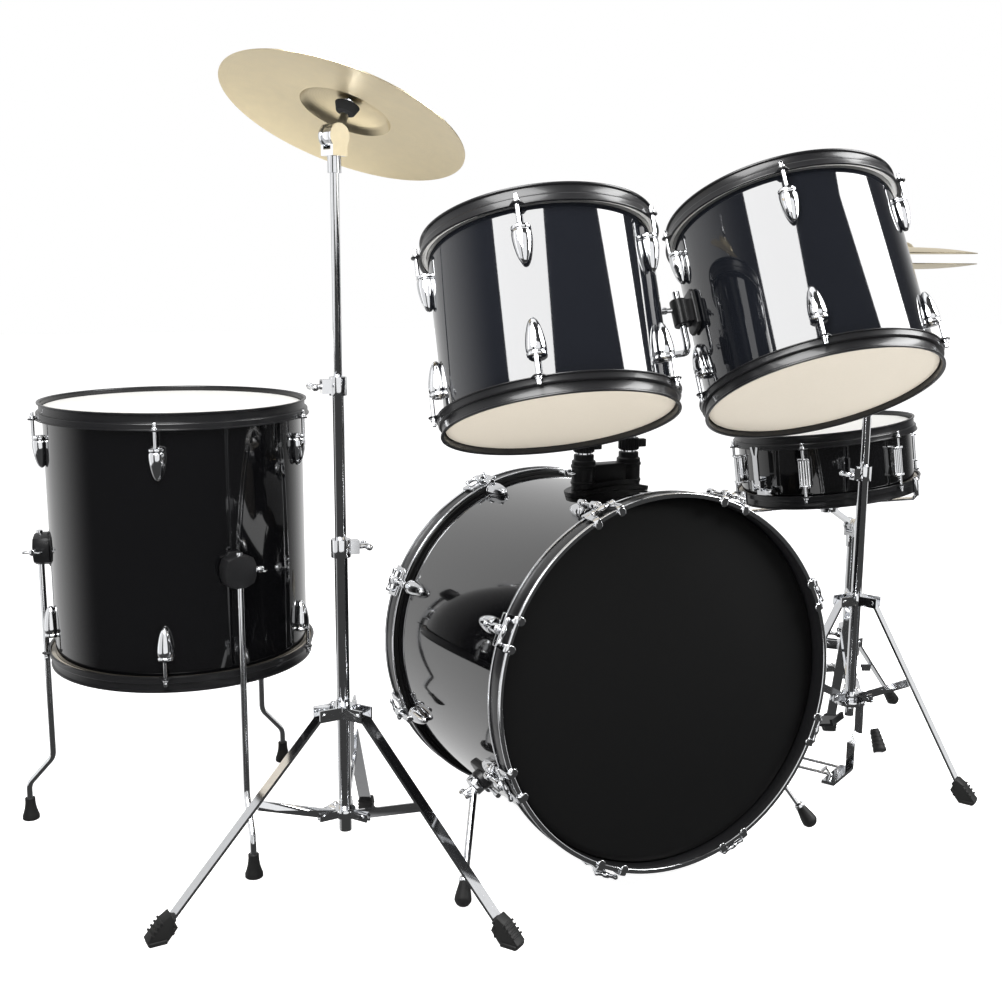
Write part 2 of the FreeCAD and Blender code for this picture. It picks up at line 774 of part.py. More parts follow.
def eared_hub(centre, z, tube_radius, height, angles, gap):
    """A ring round the tube with a pair of ears for each leg or brace."""
    start = centre + UP * (z - height / 2)
    pieces = [cylinder(tube_radius + 6, height, Placement(start, Rotation()))]
    for angle in angles:
        here = Placement(polar(centre, tube_radius + 14, angle, z), Rotation(UP, angle))
        for side in (-1, 1):
            pieces.append(box(37, 3, height, here * shift(0, side * (gap / 2 + 1.8), 0)))
            rivet = Placement(Vector(10, side * (gap / 2 + 4.2), 0), Rotation(RIGHT, 90))
            pieces.append(cylinder(4.2, 2, here * rivet * shift(0, 0, -1)))
    pieces.append(wing_bolt(*hub_bolt(centre, z, tube_radius, angles)))
    bore = cylinder(tube_radius, height + 20, Placement(start - UP * 10, Rotation()))
    return cut(fuse(*pieces), bore)


def hub_bolt(centre, z, tube_radius, angles):
    """Where the hub's wing bolt starts and which way it points, between two of the legs."""
    away = polar(Vector(), 1, angles[0] + 60, 0)
    return centre + UP * z + away * (tube_radius + 4), away


def tripod_leg(centre, hub_z, foot_circle, angle, tube_radius, width):
    """A flat leg from its rivet in the hub's ears down to the floor, with its two end points."""
    side = polar(Vector(), 1, angle + 90, 0)
    top = polar(centre, tube_radius + 24, angle, hub_z)
    toe = polar(centre, foot_circle - 12, angle, 20)
    return strip(top, toe, width, 4, side.cross(toe - top)), top, toe


def leg_brace(centre, brace_z, angle, tube_radius, top, toe):
    """A bar on edge from the lower hub to just under the leg."""
    side = polar(Vector(), 1, angle + 90, 0)
    low = polar(centre, tube_radius + 10, angle, brace_z)
    slope = (toe - top).normalize()
    inward = side.cross(slope)
    if inward.z > 0:
        inward = -inward
    high = top + (toe - top) * 0.43 + inward * 6
    return strip(low, high, 14, 4, side)


def tripod(centre, hub_z, brace_z, foot_circle, angles, tube_radius, width=18):
    """Three flat legs hinged on an upper hub and braced from a lower one: hubs, legs, braces."""
    foot_circle = float(foot_circle)
    tube_radius = float(tube_radius)
    hub_z = float(hub_z)
    brace_z = float(brace_z)
    hubs = [
        eared_hub(centre, hub_z, tube_radius, 18, angles, width),
        eared_hub(centre, brace_z, tube_radius, 12, angles, 4),
    ]
    legs = []
    braces = []
    for angle in angles:
        leg, top, toe = tripod_leg(centre, hub_z, foot_circle, angle, tube_radius, width)
        legs.append(leg)
        braces.append(cut(leg_brace(centre, brace_z, angle, tube_radius, top, toe), leg))
    return hubs, legs, braces


def stand_feet(centre, foot_circle, angles, legs):
    """The rubber shoes on the ends of a tripod's legs, each with a slot for its leg."""
    outline = [(-30, 18), (-14, 0), (13, 0), (15, 8), (-8, 34), (-20, 42)]
    feet = []
    for angle, leg in zip(angles, legs):
        place = Placement(polar(centre, foot_circle, angle, 0), Rotation(UP, angle))
        tread = box(26, 28, 8, place * shift(0, 0, 4))
        feet.append(cut(fuse(tread, plate("shoe", outline, 24, place)), leg))
    return feet


def boot_feet(centre, foot_circle, hub_z, tube_radius, angles, legs):
    """Long round boots on thin legs, cut flat where they stand on the floor."""
    feet = []
    for angle, leg in zip(angles, legs):
        toe = polar(centre, float(foot_circle) - 12, angle, 20)
        along = (toe - polar(centre, tube_radius + 24, angle, hub_z)).normalize()
        boot = cone(8.5, 13, 46, Placement(toe - along * 26, Rotation(UP, along)))
        ground = box(80, 80, 40, Placement(Vector(toe.x, toe.y, -20), Rotation()))
        feet.append(cut(boot, ground, leg))
    return feet


def stand_tube(centre, low, high, outer, bore, away):
    """A tube with the height clamp on its upper end, bored for the tube that slides in it."""
    low = float(low)
    high = float(high)
    body = cylinder(outer, high - low, Placement(centre + UP * low, Rotation()))
    clamp = cylinder(outer + 4.5, 26, Placement(centre + UP * (high - 24), Rotation()))
    ear = box(18, 12, 20, Placement(
        centre + UP * (high - 11) + away * (float(outer) + 8), Rotation(RIGHT, away)))
    bolt = wing_bolt(centre + UP * (high - 11) + away * (float(outer) + 14), away)
    hole = cylinder(bore + 0.05, high - low + 20, Placement(centre + UP * (low - 10), Rotation()))
    return cut(fuse(body, clamp, ear, bolt), hole)


def cymbal_outline(radius, bow, bell, sheet_thickness, hole):
    """Half a cymbal: a shallow bow out to the edge and a bell over the hole."""
    bell_radius = float(radius) * 0.37
    steps = 6
    under = []
    for n in range(steps + 1):
        part = n / steps
        under.append((radius * (1 - part) + bell_radius * part, bow * (1 - (1 - part) ** 2)))
    for n in range(1, 5):
        part = n / 4
        across = bell_radius * (1 - part) + float(hole) * part
        under.append((across, bow + bell * math.sqrt(1 - (across / bell_radius) ** 2)))
    over = [(across, dim(height) + sheet_thickness) for across, height in reversed(under)]
    return under + over


def cymbal(name, radius, bow, bell, hole):
    return lathe(name, cymbal_outline(radius, bow, bell, k.cymbal_sheet, hole))


HIHAT_CENTRE = at(k.hihat_x, k.hihat_y, 0)
CRASH_CENTRE = at(k.crash_x, k.crash_y, 0)
SNARE_STAND = at(k.snare_stand_x, k.snare_stand_y, 0)
HIHAT_ANGLES = [float(k.hihat_foot_angle) + 120 * n for n in range(3)]
CRASH_ANGLES = [float(k.crash_foot_angle) + 120 * n for n in range(3)]
SNARE_ANGLES = [float(k.snare_foot_angle) + 120 * n for n in range(3)]
LEFT = -RIGHT
FELT = 14
BELL_HOLE = 6


def fork(centre, axis, radius, tube_top, tube_radius):
    """Two round cheeks on a yoke, which hold a tilter's tongue between them."""
    cheeks = [
        rod(centre + axis * sign * 7.3, centre + axis * sign * 12.5, radius) for sign in (-1, 1)
    ]
    turn = Rotation(RIGHT, axis)
    drop = centre.z - tube_top
    webs = [
        box(5.2, 1.5 * radius, drop, Placement(centre + axis * sign * 9.9 - UP * (drop / 2), turn))
        for sign in (-1, 1)
    ]
    yoke = box(25, 1.5 * radius, 8, Placement(Vector(centre.x, centre.y, tube_top), turn))
    socket = cylinder(
        tube_radius + 3, 24, Placement(Vector(centre.x, centre.y, tube_top - 26), Rotation()))
    return fuse(*cheeks, *webs, yoke, socket)


# ---------------------------------------------------------------- crash cymbal

CRASH_UP = Vector(float(k.crash_lean_x), float(k.crash_lean_y), 1).normalize()
CRASH_TILT_AXIS = UP.cross(CRASH_UP).normalize()
CRASH_TILTER = CRASH_CENTRE + UP * float(k.crash_tilter_z)
CRASH_FRAME = frame_of(CRASH_TILTER + CRASH_UP * 24 + CRASH_TILT_AXIS.cross(UP) * 6, CRASH_UP)
CRASH_BOW = 12
CRASH_BELL = 17


def felt_set(frame, seat, sheet_thickness):
    """Felt washers under and over a bell, dished away from it so that the cymbal can rock."""
    cup = cone(13, 18, 12, frame * shift(0, 0, seat - 18))
    low = cone(18, 6.4, 4.4, frame * shift(0, 0, seat - 6))
    high = cone(6, FELT, 7, frame * shift(0, 0, seat + sheet_thickness + 1.3))
    return cup, low, high


def crash_tilter():
    """The ratchet's tongue, the cymbal's rod, its felts and the wing nut."""
    seat = CRASH_BOW + CRASH_BELL
    sheet_thickness = float(k.cymbal_sheet)
    tongue = rod(CRASH_TILTER - CRASH_TILT_AXIS * 7, CRASH_TILTER + CRASH_TILT_AXIS * 7, 16)
    root = CRASH_FRAME.multVec(Vector(0, 0, -20))
    stem = rod(root, CRASH_FRAME.multVec(Vector(0, 0, seat + 44)), 3.2)
    neck = rod(root, CRASH_FRAME.multVec(Vector(0, 0, seat - 17)), 6)
    felts = felt_set(CRASH_FRAME, seat, sheet_thickness)
    nut_z = seat + sheet_thickness + 8
    nut = cylinder(7, 9, CRASH_FRAME * shift(0, 0, nut_z))
    wings = box(34, 4, 12, CRASH_FRAME * shift(0, 0, nut_z + 8))
    return fuse(tongue, stem, neck, *felts, nut, wings)


def build_crash():
    lower = k.crash_lower_radius
    middle = k.crash_mid_radius
    upper = k.crash_upper_radius
    tube_top = float(k.crash_tube_top)
    base = stand_tube(CRASH_CENTRE, k.crash_tube_bottom, k.crash_collar_z, lower, middle, RIGHT)
    publish("crash_base_tube", base)
    hubs, legs, braces = tripod(
        CRASH_CENTRE, k.crash_hub_z, k.crash_brace_z, k.crash_foot_circle, CRASH_ANGLES, lower, 20)
    publish("crash_legs", group(*hubs, *legs, *braces))
    mid = stand_tube(
        CRASH_CENTRE, float(k.crash_collar_z) - 190, k.crash_collar_two_z, middle, upper, LEFT)
    publish("crash_mid_tube", mid)
    low = CRASH_CENTRE + UP * (float(k.crash_collar_two_z) - 190)
    pole = rod(low, CRASH_CENTRE + UP * tube_top, upper)
    head = fork(CRASH_TILTER, CRASH_TILT_AXIS, 17, tube_top + 14, 6.4)
    publish("crash_upper_tube", fuse(pole, head))
    publish("crash_tilter", crash_tilter())
    plate_of_brass = cymbal("crash", k.crash_radius, CRASH_BOW, CRASH_BELL, BELL_HOLE)
    publish("crash_cymbal", plate_of_brass, CRASH_FRAME)
    return stand_feet(CRASH_CENTRE, k.crash_foot_circle, CRASH_ANGLES, legs)


# ---------------------------------------------------------------- hi-hat

HIHAT_BOW = 9
HIHAT_BELL = 15
HIHAT_SEAT = HIHAT_BOW + HIHAT_BELL
PEDAL_ANGLE = float(k.hihat_pedal_angle)
PEDAL_FRAME = Placement(HIHAT_CENTRE, Rotation(UP, PEDAL_ANGLE))
TOP_RIM_Z = float(k.hihat_z + k.hihat_gap / 2)
BOTTOM_RIM_Z = float(k.hihat_z - k.hihat_gap / 2)


def pedal_frame_pieces():
    """The jogged bar from the tube's foot to the toe plate, and the stay hook on the plate."""
    ring_z = float(k.hihat_ring_z)
    points = [Vector(-12, -20, ring_z - 8), Vector(-12, -22, 74), Vector(-4, -9, 56), Vector(-4, -9, 5)]
    points = [PEDAL_FRAME.multVec(point) for point in points]
    face = PEDAL_FRAME.Rotation.multVec(BACK)
    pieces = [box(24, 92, 6, PEDAL_FRAME * shift(4, 31, 3))]
    pieces += [strip(start, end, 14, 5, face) for start, end in zip(points, points[1:])]
    pieces += [sphere(bend, 3) for bend in points[1:3]]
    hook = [Vector(4, 70, 5), Vector(-2, 78, 20), Vector(10, 72, 30), Vector(18, 70, 22)]
    pieces.append(bent_rod([PEDAL_FRAME.multVec(point) for point in hook], 3))
    disc = cylinder(28, 9, Placement(HIHAT_CENTRE + UP * (ring_z - 12), Rotation()))
    bore = cylinder(
        k.hihat_tube_radius, 40, Placement(HIHAT_CENTRE + UP * (ring_z - 30), Rotation()))
    return cut(fuse(*pieces, disc), bore)


def pedal_base():
    """Two rods along the floor to the heel plate, with its pair of hinge ears."""
    heel_x = float(k.hihat_pedal_length)
    rods = [
        rod(PEDAL_FRAME.multVec(Vector(16, side, 4)),
            PEDAL_FRAME.multVec(Vector(heel_x - 20, side, 4)), 2.5)
        for side in (-6, 38)
    ]
    heel = box(52, 84, 8, PEDAL_FRAME * shift(heel_x + 6, 0, 4))
    ears = [box(18, 4, 28, PEDAL_FRAME * shift(heel_x, side, 18)) for side in (-38, 38)]
    pin_hole = rod(PEDAL_FRAME.multVec(Vector(heel_x, -60, 26)),
                   PEDAL_FRAME.multVec(Vector(heel_x, 60, 26)), 3.05)
    return cut(fuse(*rods, heel, *ears), pin_hole)


def footboard(frame, heel, toe, width_heel, width_toe, ear_gap):
    """A tapered board hinged on a pin at its heel, with a raised lip at the toe."""
    run = toe - heel
    turn = Rotation(-run, BACK, Vector(), "XYZ")
    span = run.Length
    here = frame * Placement(heel, turn)
    half_heel = width_heel / 2
    half_toe = width_toe / 2
    outline = [
        (-14, -half_heel), (14, -half_heel), (14, half_heel), (-14, half_heel),
        (-span, half_toe), (-span, -half_toe),
    ]
    flat = Placement(Vector(), Rotation(RIGHT, 90))
    board = plate("footboard", outline, 5, here * shift(0, 0, 5) * flat)
    lip = box(5, width_toe, 12, here * shift(-span + 2.5, 0, 9))
    pin = cylinder(3, ear_gap, here * Placement(Vector(0, ear_gap / 2, 0), Rotation(RIGHT, 90)))
    knuckle = cylinder(6, width_heel - 8, here * Placement(
        Vector(0, width_heel / 2 - 4, 0), Rotation(RIGHT, 90)))
    return fuse(board, lip, pin, knuckle)


def hihat_clutch():
    """The sleeve that clamps the upper cymbal to the rod, between two felts."""
    seat = TOP_RIM_Z + HIHAT_SEAT
    sheet_thickness = float(k.cymbal_sheet)
    frame = Placement(HIHAT_CENTRE, Rotation())
    sleeve = cylinder(5.4, 46, frame * shift(0, 0, seat - 12))
    low = cylinder(11, 7, frame * shift(0, 0, seat - 12))
    felt_low = cylinder(9, 4, frame * shift(0, 0, seat - 5.5))
    felt_high = cylinder(FELT, 6, frame * shift(0, 0, seat + sheet_thickness + 0.5))
    body = cylinder(9, 24, frame * shift(0, 0, seat + sheet_thickness + 6.5))
    screw = wing_bolt(HIHAT_CENTRE + UP * (seat + 24) - BACK * 7, -BACK, 22)
    bore = cylinder(k.hihat_rod_radius + 0.05, 80, frame * shift(0, 0, seat - 30))
    return cut(fuse(sleeve, low, felt_low, felt_high, body, screw), bore)


def build_hihat():
    outer = k.hihat_tube_radius
    inner = k.hihat_upper_radius
    ring_z = float(k.hihat_ring_z)
    floor_frame = Placement(HIHAT_CENTRE, Rotation())
    base = stand_tube(HIHAT_CENTRE, ring_z - 12, k.hihat_collar_z, outer, inner, LEFT)
    hubs, legs, braces = tripod(
        HIHAT_CENTRE, k.hihat_clamp_z, k.hihat_ring_z + 3.3, k.hihat_foot_circle, HIHAT_ANGLES,
        outer, 18)
    publish("hihat_base", group(
        base, pedal_frame_pieces(), pedal_base(), *hubs, *legs, *braces))
    cup_z = BOTTOM_RIM_Z - HIHAT_SEAT - float(k.cymbal_sheet)
    tube_low = float(k.hihat_collar_z) - 220
    pipe = cylinder(inner, cup_z - 6 - tube_low, floor_frame * shift(0, 0, tube_low))
    cup = cone(9, 21, 9, floor_frame * shift(0, 0, cup_z - 15))
    felt = cone(20, 7, 5.7, floor_frame * shift(0, 0, cup_z - 6))
    hollow = cylinder(4.5, 700, floor_frame * shift(0, 0, tube_low - 20))
    publish("hihat_upper_tube", cut(fuse(pipe, cup, felt), hollow))
    top_z = TOP_RIM_Z + 96
    stem = rod(HIHAT_CENTRE + UP * 120, HIHAT_CENTRE + UP * top_z, k.hihat_rod_radius)
    clevis = cylinder(8, 22, floor_frame * shift(0, 0, 113))
    publish("hihat_pull_rod", fuse(stem, clevis))
    publish("hihat_clutch", hihat_clutch())
    upper = cymbal("hihat_top", k.hihat_radius, HIHAT_BOW, HIHAT_BELL, BELL_HOLE)
    publish("hihat_top_cymbal", upper, floor_frame * shift(0, 0, TOP_RIM_Z))
    lower = cymbal("hihat_bottom", k.hihat_radius, HIHAT_BOW, HIHAT_BELL, BELL_HOLE)
    publish("hihat_bottom_cymbal", lower, floor_frame * shift(0, 0, BOTTOM_RIM_Z) * FLIP)
    heel = Vector(float(k.hihat_pedal_length), 0, 26)
    toe = Vector(18, 0, 92)
    publish("hihat_footboard", footboard(PEDAL_FRAME, heel, toe, 66, 54, 80))
    return stand_feet(HIHAT_CENTRE, k.hihat_foot_circle, HIHAT_ANGLES, legs)


# ---------------------------------------------------------------- snare drum and its stand

SNARE_FRAME = drum_frame(k.snare_x, k.snare_y, k.snare_z, k.snare_lean_x, k.snare_lean_y,
                         -k.snare_height / 2)
SNARE_PIVOT = SNARE_STAND + UP * float(k.snare_pivot_z)
STRAINER = spin(k.strainer_angle)
LEVER_PIVOT = Vector(float(k.snare_radius) + 20, 0, -22)
BASKET_FRAME = SNARE_FRAME * shift(0, 0, -float(k.snare_height) / 2 - 7)
BASKET_HUB = BASKET_FRAME.multVec(Vector(0, 0, -22))
SNARE_TILT_AXIS = UP.cross(BASKET_HUB - SNARE_PIVOT).normalize()


def strainer():
    """The throw-off on one side of the shell and the butt plate across from it."""
    radius = float(k.snare_radius)
    core = cylinder(k.snare_radius, 200, shift(0, 0, -100))
    body = box(16, 26, 36, shift(radius + 5, 0, -24))
    cheeks = [box(18, 3.5, 20, shift(radius + 18, side, -22)) for side in (-9, 9)]
    knob = cylinder(6.5, 16, Placement(Vector(radius + 13, 13, -35), Rotation(RIGHT, -90)))
    throw_off = fuse(body, *cheeks, knob)
    butt = fuse(
        box(14, 34, 20, FLIP * shift(-radius - 4, 0, 31)),
        box(6, 30, 6, FLIP * shift(-radius - 12, 0, 26)),
    )
    return group(cut(throw_off, core), cut(butt, core))


def strainer_lever():
    """A flat lever, forked at its free end, that swings down from its pin."""
    start = LEVER_PIVOT
    bar = box(4, 12, 62, shift(start.x + 3, 0, start.z + 27))
    prongs = [
        strip(Vector(start.x + 3, side * 3, start.z + 54), Vector(start.x + 3, side * 7.5, start.z + 74),
              5, 4, RIGHT)
        for side in (-1, 1)
    ]
    hub = rod(start - BACK * 6.9, start + BACK * 6.9, 6)
    return fuse(bar, *prongs, hub)


def snare_wires():
    """Twelve wires between two end plates, just under the lower head."""
    low = -(float(k.snare_height) / 2 - float(k.rim_rise) + float(k.film) + 1.4)
    half = 132
    wires = [
        rod(Vector(-half, side, low), Vector(half, side, low), 0.9)
        for side in [-22 + 4 * n for n in range(12)]
    ]
    plates = [box(14, 54, 2.2, shift(side * (half + 5), 0, low)) for side in (-1, 1)]
    return fuse(*wires, *plates)


def snare_basket():
    """The tilting arms that carry the drum by its lower hoop, with their rubber tips."""
    hub = cylinder(17, 18, BASKET_FRAME * shift(0, 0, -30))
    tongue = rod(SNARE_PIVOT - SNARE_TILT_AXIS * 7, SNARE_PIVOT + SNARE_TILT_AXIS * 7, 13)
    carrier = strip(
        SNARE_PIVOT, BASKET_HUB, 14, 9, SNARE_TILT_AXIS.cross(BASKET_HUB - SNARE_PIVOT))
    pieces = [hub, tongue, carrier]
    circle = float(k.snare_radius) + 18.5
    for n in range(3):
        arm = BASKET_FRAME * spin(float(k.basket_angle) + 120 * n)
        points = [Vector(10, 0, -22), Vector(70, 0, -10), Vector(circle - 8, 0, -2), Vector(circle, 0, 6)]
        pieces.append(bent_rod([arm.multVec(point) for point in points], 3.4))
        pieces.append(cylinder(5.6, 30, arm * shift(circle, 0, 4)))
        pieces.append(sphere(arm.multVec(Vector(circle, 0, 34)), 5.6))
    return fuse(*pieces)


def build_snare():
    lugs = int(k.snare_lugs.value)
    pieces = drum("snare", k.snare_radius, k.snare_height, lugs, k.snare_turn, shallow=True)
    publish_drum("snare", pieces, SNARE_FRAME)
    publish("snare_strainer", strainer(), SNARE_FRAME * STRAINER)
    publish("snare_strainer_lever", strainer_lever(), SNARE_FRAME * STRAINER)
    publish("snare_wires", snare_wires(), SNARE_FRAME * STRAINER)
    outer = k.snare_tube_radius
    inner = k.snare_upper_radius
    away = polar(Vector(), 1, 200, 0)
    base = stand_tube(SNARE_STAND, 96, k.snare_tube_top, outer, inner, away)
    hubs, legs, braces = tripod(
        SNARE_STAND, k.snare_hub_z, k.snare_brace_z, k.snare_foot_circle, SNARE_ANGLES, outer, 11)
    publish("snare_stand_base", group(base, *hubs, *legs, *braces))
    tube_top = SNARE_PIVOT.z - 32
    pole = rod(SNARE_STAND + UP * 100, SNARE_STAND + UP * tube_top, inner)
    head = fork(SNARE_PIVOT, SNARE_TILT_AXIS, 15, tube_top + 14, 9.5)
    publish("snare_stand_tube", fuse(pole, head))
    publish("snare_stand_basket", snare_basket())
    return boot_feet(
        SNARE_STAND, k.snare_foot_circle, k.snare_hub_z, outer, SNARE_ANGLES, legs)


# ---------------------------------------------------------------- kick pedal

KICK_CENTRE = at(0, k.kick_axle_y, 0)
KICK_FRAME = Placement(KICK_CENTRE, Rotation(UP, 90))
KICK_AXLE = KICK_CENTRE + UP * float(k.kick_axle_z)
KICK_REST = 35
KICK_HEEL_RUN = float(k.kick_heel_y - k.kick_axle_y)


def kick_frame():
    """The clamp on the bass hoop, two uprights, floor rods and the heel plate."""
    half = float(k.kick_half_width)
    axle_z = float(k.kick_axle_z)
    sole = box(90, 120, 5, KICK_FRAME * shift(-12, 0, 2.5))
    block = box(16, 50, 24, KICK_FRAME * shift(-52, 0, 12))
    jaw = box(24, 40, 5, KICK_FRAME * shift(-70, 0, 14.5))
    screw = wing_bolt(KICK_FRAME.multVec(Vector(-50, 0, 22)), UP, 24)
    pieces = [sole, block, jaw, screw]
    for side in (-1, 1):
        pieces.append(box(20, 10, axle_z - 4, KICK_FRAME * shift(0, side * half, axle_z / 2)))
        hub = Placement(Vector(0, side * half + 6, axle_z), Rotation(RIGHT, 90))
        pieces.append(cylinder(12, 12, KICK_FRAME * hub))
        start = KICK_FRAME.multVec(Vector(20, side * 28, 4))
        end = KICK_FRAME.multVec(Vector(KICK_HEEL_RUN - 20, side * 28, 4))
        pieces.append(rod(start, end, 3))
        pieces.append(box(18, 4, 28, KICK_FRAME * shift(KICK_HEEL_RUN, side * 44, 18)))
    pieces.append(box(56, 96, 8, KICK_FRAME * shift(KICK_HEEL_RUN + 8, 0, 4)))
    axle_hole = rod(KICK_FRAME.multVec(Vector(0, -70, axle_z)),
                    KICK_FRAME.multVec(Vector(0, 70, axle_z)), 5.05)
    pin_hole = rod(KICK_FRAME.multVec(Vector(KICK_HEEL_RUN, -70, 26)),
                   KICK_FRAME.multVec(Vector(KICK_HEEL_RUN, 70, 26)), 3.05)
    return cut(fuse(*pieces), axle_hole, pin_hole)


def kick_beater():
    """The axle, its cam, the beater's rod and the felt head, leaning back at rest."""
    half = float(k.kick_half_width) + 12
    axle = rod(KICK_FRAME.multVec(Vector(0, -half, float(k.kick_axle_z))),
               KICK_FRAME.multVec(Vector(0, half, float(k.kick_axle_z))), 5)
    lean = math.radians(KICK_REST)
    along = Vector(0, math.sin(lean), math.cos(lean))
    strike = Vector(0, -math.cos(lean), math.sin(lean))
    head = KICK_AXLE + along * float(k.kick_beater_reach)
    cam = rod(KICK_AXLE - RIGHT * 12, KICK_AXLE + RIGHT * 12, 14)
    stem = rod(KICK_AXLE, head, 4)
    felt = rod(head - strike * 22, head + strike * 26, 24)
    return fuse(axle, cam, stem, felt)


def kick_footboard():
    heel = Vector(KICK_HEEL_RUN, 0, 26)
    toe = Vector(2, 0, 96)
    board = footboard(KICK_FRAME, heel, toe, 78, 62, 92)
    strap = box(3, 14, 40, KICK_FRAME * shift(8, 0, 122))
    return fuse(board, strap)


def build_kick_pedal():
    publish("kick_frame", kick_frame())
    publish("kick_footboard", kick_footboard())
    publish("kick_beater", kick_beater())


# ---------------------------------------------------------------- the whole kit


def floor_tom_feet():
    feet = []
    for angle in LEG_ANGLES:
        foot = rubber_foot(polar(FLOOR_CENTRE, k.leg_foot_circle, angle, 0))
        feet.append(cut(foot, floor_leg(angle)))
    return feet


def build():
    build_bass()
    build_spurs()
    build_rack()
    build_floor_tom()
    feet = floor_tom_feet()
    feet += build_crash()
    feet += build_hihat()
    feet += build_snare()
    build_kick_pedal()
    publish("rubber_feet", group(*feet))
    doc.recompute()


def check_and_write():
    failed = [one.Label for one in doc.Objects if {"Invalid", "Error"} & set(one.State)]
    if failed:
        raise SystemExit(f"these objects failed: {failed}")
    for label, thing in nodes.items():
        if thing.Shape.isNull() or not thing.Shape.isValid() or not thing.Shape.Solids:
            raise SystemExit(f"{label} has no valid solid")
    os.makedirs("parts", exist_ok=True)
    for label, thing in nodes.items():
        thing.Shape.exportStep(f"parts/{label}.step")


build()
check_and_write()
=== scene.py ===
"""A five-drum acoustic kit with a hi-hat and a crash cymbal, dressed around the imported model."""

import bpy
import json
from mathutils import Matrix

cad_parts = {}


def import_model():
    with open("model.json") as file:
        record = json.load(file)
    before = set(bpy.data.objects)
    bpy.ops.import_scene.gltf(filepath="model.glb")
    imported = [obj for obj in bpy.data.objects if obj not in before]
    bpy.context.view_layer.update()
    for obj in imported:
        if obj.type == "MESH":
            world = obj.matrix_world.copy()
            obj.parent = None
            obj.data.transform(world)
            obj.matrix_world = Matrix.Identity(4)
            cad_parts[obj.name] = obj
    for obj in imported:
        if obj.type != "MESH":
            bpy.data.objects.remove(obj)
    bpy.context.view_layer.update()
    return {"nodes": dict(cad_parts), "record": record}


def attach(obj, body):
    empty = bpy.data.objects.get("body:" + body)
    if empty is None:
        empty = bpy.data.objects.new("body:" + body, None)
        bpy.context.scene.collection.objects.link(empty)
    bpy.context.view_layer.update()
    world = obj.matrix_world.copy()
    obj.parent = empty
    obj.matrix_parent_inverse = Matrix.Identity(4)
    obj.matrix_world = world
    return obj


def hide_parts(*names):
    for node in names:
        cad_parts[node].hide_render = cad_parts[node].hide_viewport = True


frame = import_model()

import json
import math

import bmesh
import bpy
from mathutils import Matrix, Vector

MM = 0.001
UP = Vector((0, 0, 1))
RIGHT = Vector((1, 0, 0))
BACK = Vector((0, 1, 0))
FLIP = Matrix.Rotation(math.pi, 4, "X")
QUARTER = math.pi / 2

# Sizes that several pieces share, in millimetres.
FOOTPRINT_X = 17
FOOTPRINT_Y = 286
ROD_CIRCLE = 15.2
CLAW_CIRCLE = 300
FLESH_HOOP_REACH = 7.2
BEARING_EDGE = 9
THIRTEEN_INCH = 165.1
CYMBAL_SHEET = 1.4

# ---------------------------------------------------------------- materials


def material(name, color, rough, metal=0.0, coat=0.0, vary=0.03, bump=0.0, scale=60.0, rings=0):
    """A shader whose roughness, tint and surface carry fine noise, with turned grooves if asked."""
    made = bpy.data.materials.new(name)
    made.use_nodes = True
    tree = made.node_tree
    shader = tree.nodes["Principled BSDF"]
    shader.inputs["Metallic"].default_value = metal
    shader.inputs["Coat Weight"].default_value = coat
    shader.inputs["Coat Roughness"].default_value = 0.03
    where = tree.nodes.new("ShaderNodeTexCoord")
    noise = tree.nodes.new("ShaderNodeTexNoise")
    noise.inputs["Scale"].default_value = scale
    noise.inputs["Detail"].default_value = 4
    tree.links.new(where.outputs["Object"], noise.inputs["Vector"])
    spread = tree.nodes.new("ShaderNodeMapRange")
    spread.inputs["To Min"].default_value = max(rough - vary, 0.02)
    spread.inputs["To Max"].default_value = rough + vary
    tree.links.new(noise.outputs["Fac"], spread.inputs["Value"])
    tree.links.new(spread.outputs["Result"], shader.inputs["Roughness"])
    tint = tree.nodes.new("ShaderNodeMix")
    tint.data_type = "RGBA"
    tint.inputs["A"].default_value = (*[channel * 0.94 for channel in color], 1)
    tint.inputs["B"].default_value = (*[min(channel * 1.06, 1) for channel in color], 1)
    tree.links.new(noise.outputs["Fac"], tint.inputs["Factor"])
    tree.links.new(tint.outputs["Result"], shader.inputs["Base Color"])
    height = noise.outputs["Fac"]
    if rings:
        grooves = tree.nodes.new("ShaderNodeTexWave")
        grooves.wave_type = "RINGS"
        grooves.rings_direction = "Z"
        grooves.inputs["Scale"].default_value = rings
        grooves.inputs["Distortion"].default_value = 0.4
        tree.links.new(where.outputs["Object"], grooves.inputs["Vector"])
        height = grooves.outputs["Fac"]
    if bump:
        relief = tree.nodes.new("ShaderNodeBump")
        relief.inputs["Strength"].default_value = bump
        relief.inputs["Distance"].default_value = 0.0006
        tree.links.new(height, relief.inputs["Height"])
        tree.links.new(relief.outputs["Normal"], shader.inputs["Normal"])
    return made


LACQUER = material("black_lacquer", (0.003, 0.003, 0.0035), 0.06, coat=1.0, vary=0.02, scale=25)
NAVY = material("blue_black_lacquer", (0.008, 0.009, 0.012), 0.06, coat=1.0, vary=0.02, scale=25)
ENAMEL = material("black_enamel", (0.011, 0.011, 0.012), 0.3, coat=0.2, vary=0.02, scale=90)
CASTING = material("black_casting", (0.012, 0.012, 0.013), 0.36, vary=0.08, bump=0.25, scale=420)
CHROME = material("chrome", (0.86, 0.87, 0.89), 0.08, metal=1.0, vary=0.03, scale=120)
COATED_FILM = material("coated_film", (0.84, 0.83, 0.80), 0.6, vary=0.04, bump=0.12, scale=900)
HAZY_FILM = material("hazy_film", (0.54, 0.49, 0.41), 0.42, vary=0.04, bump=0.05, scale=300)
BLACK_FILM = material("black_film", (0.0014, 0.0014, 0.0016), 0.5, vary=0.05, bump=0.05, scale=300)
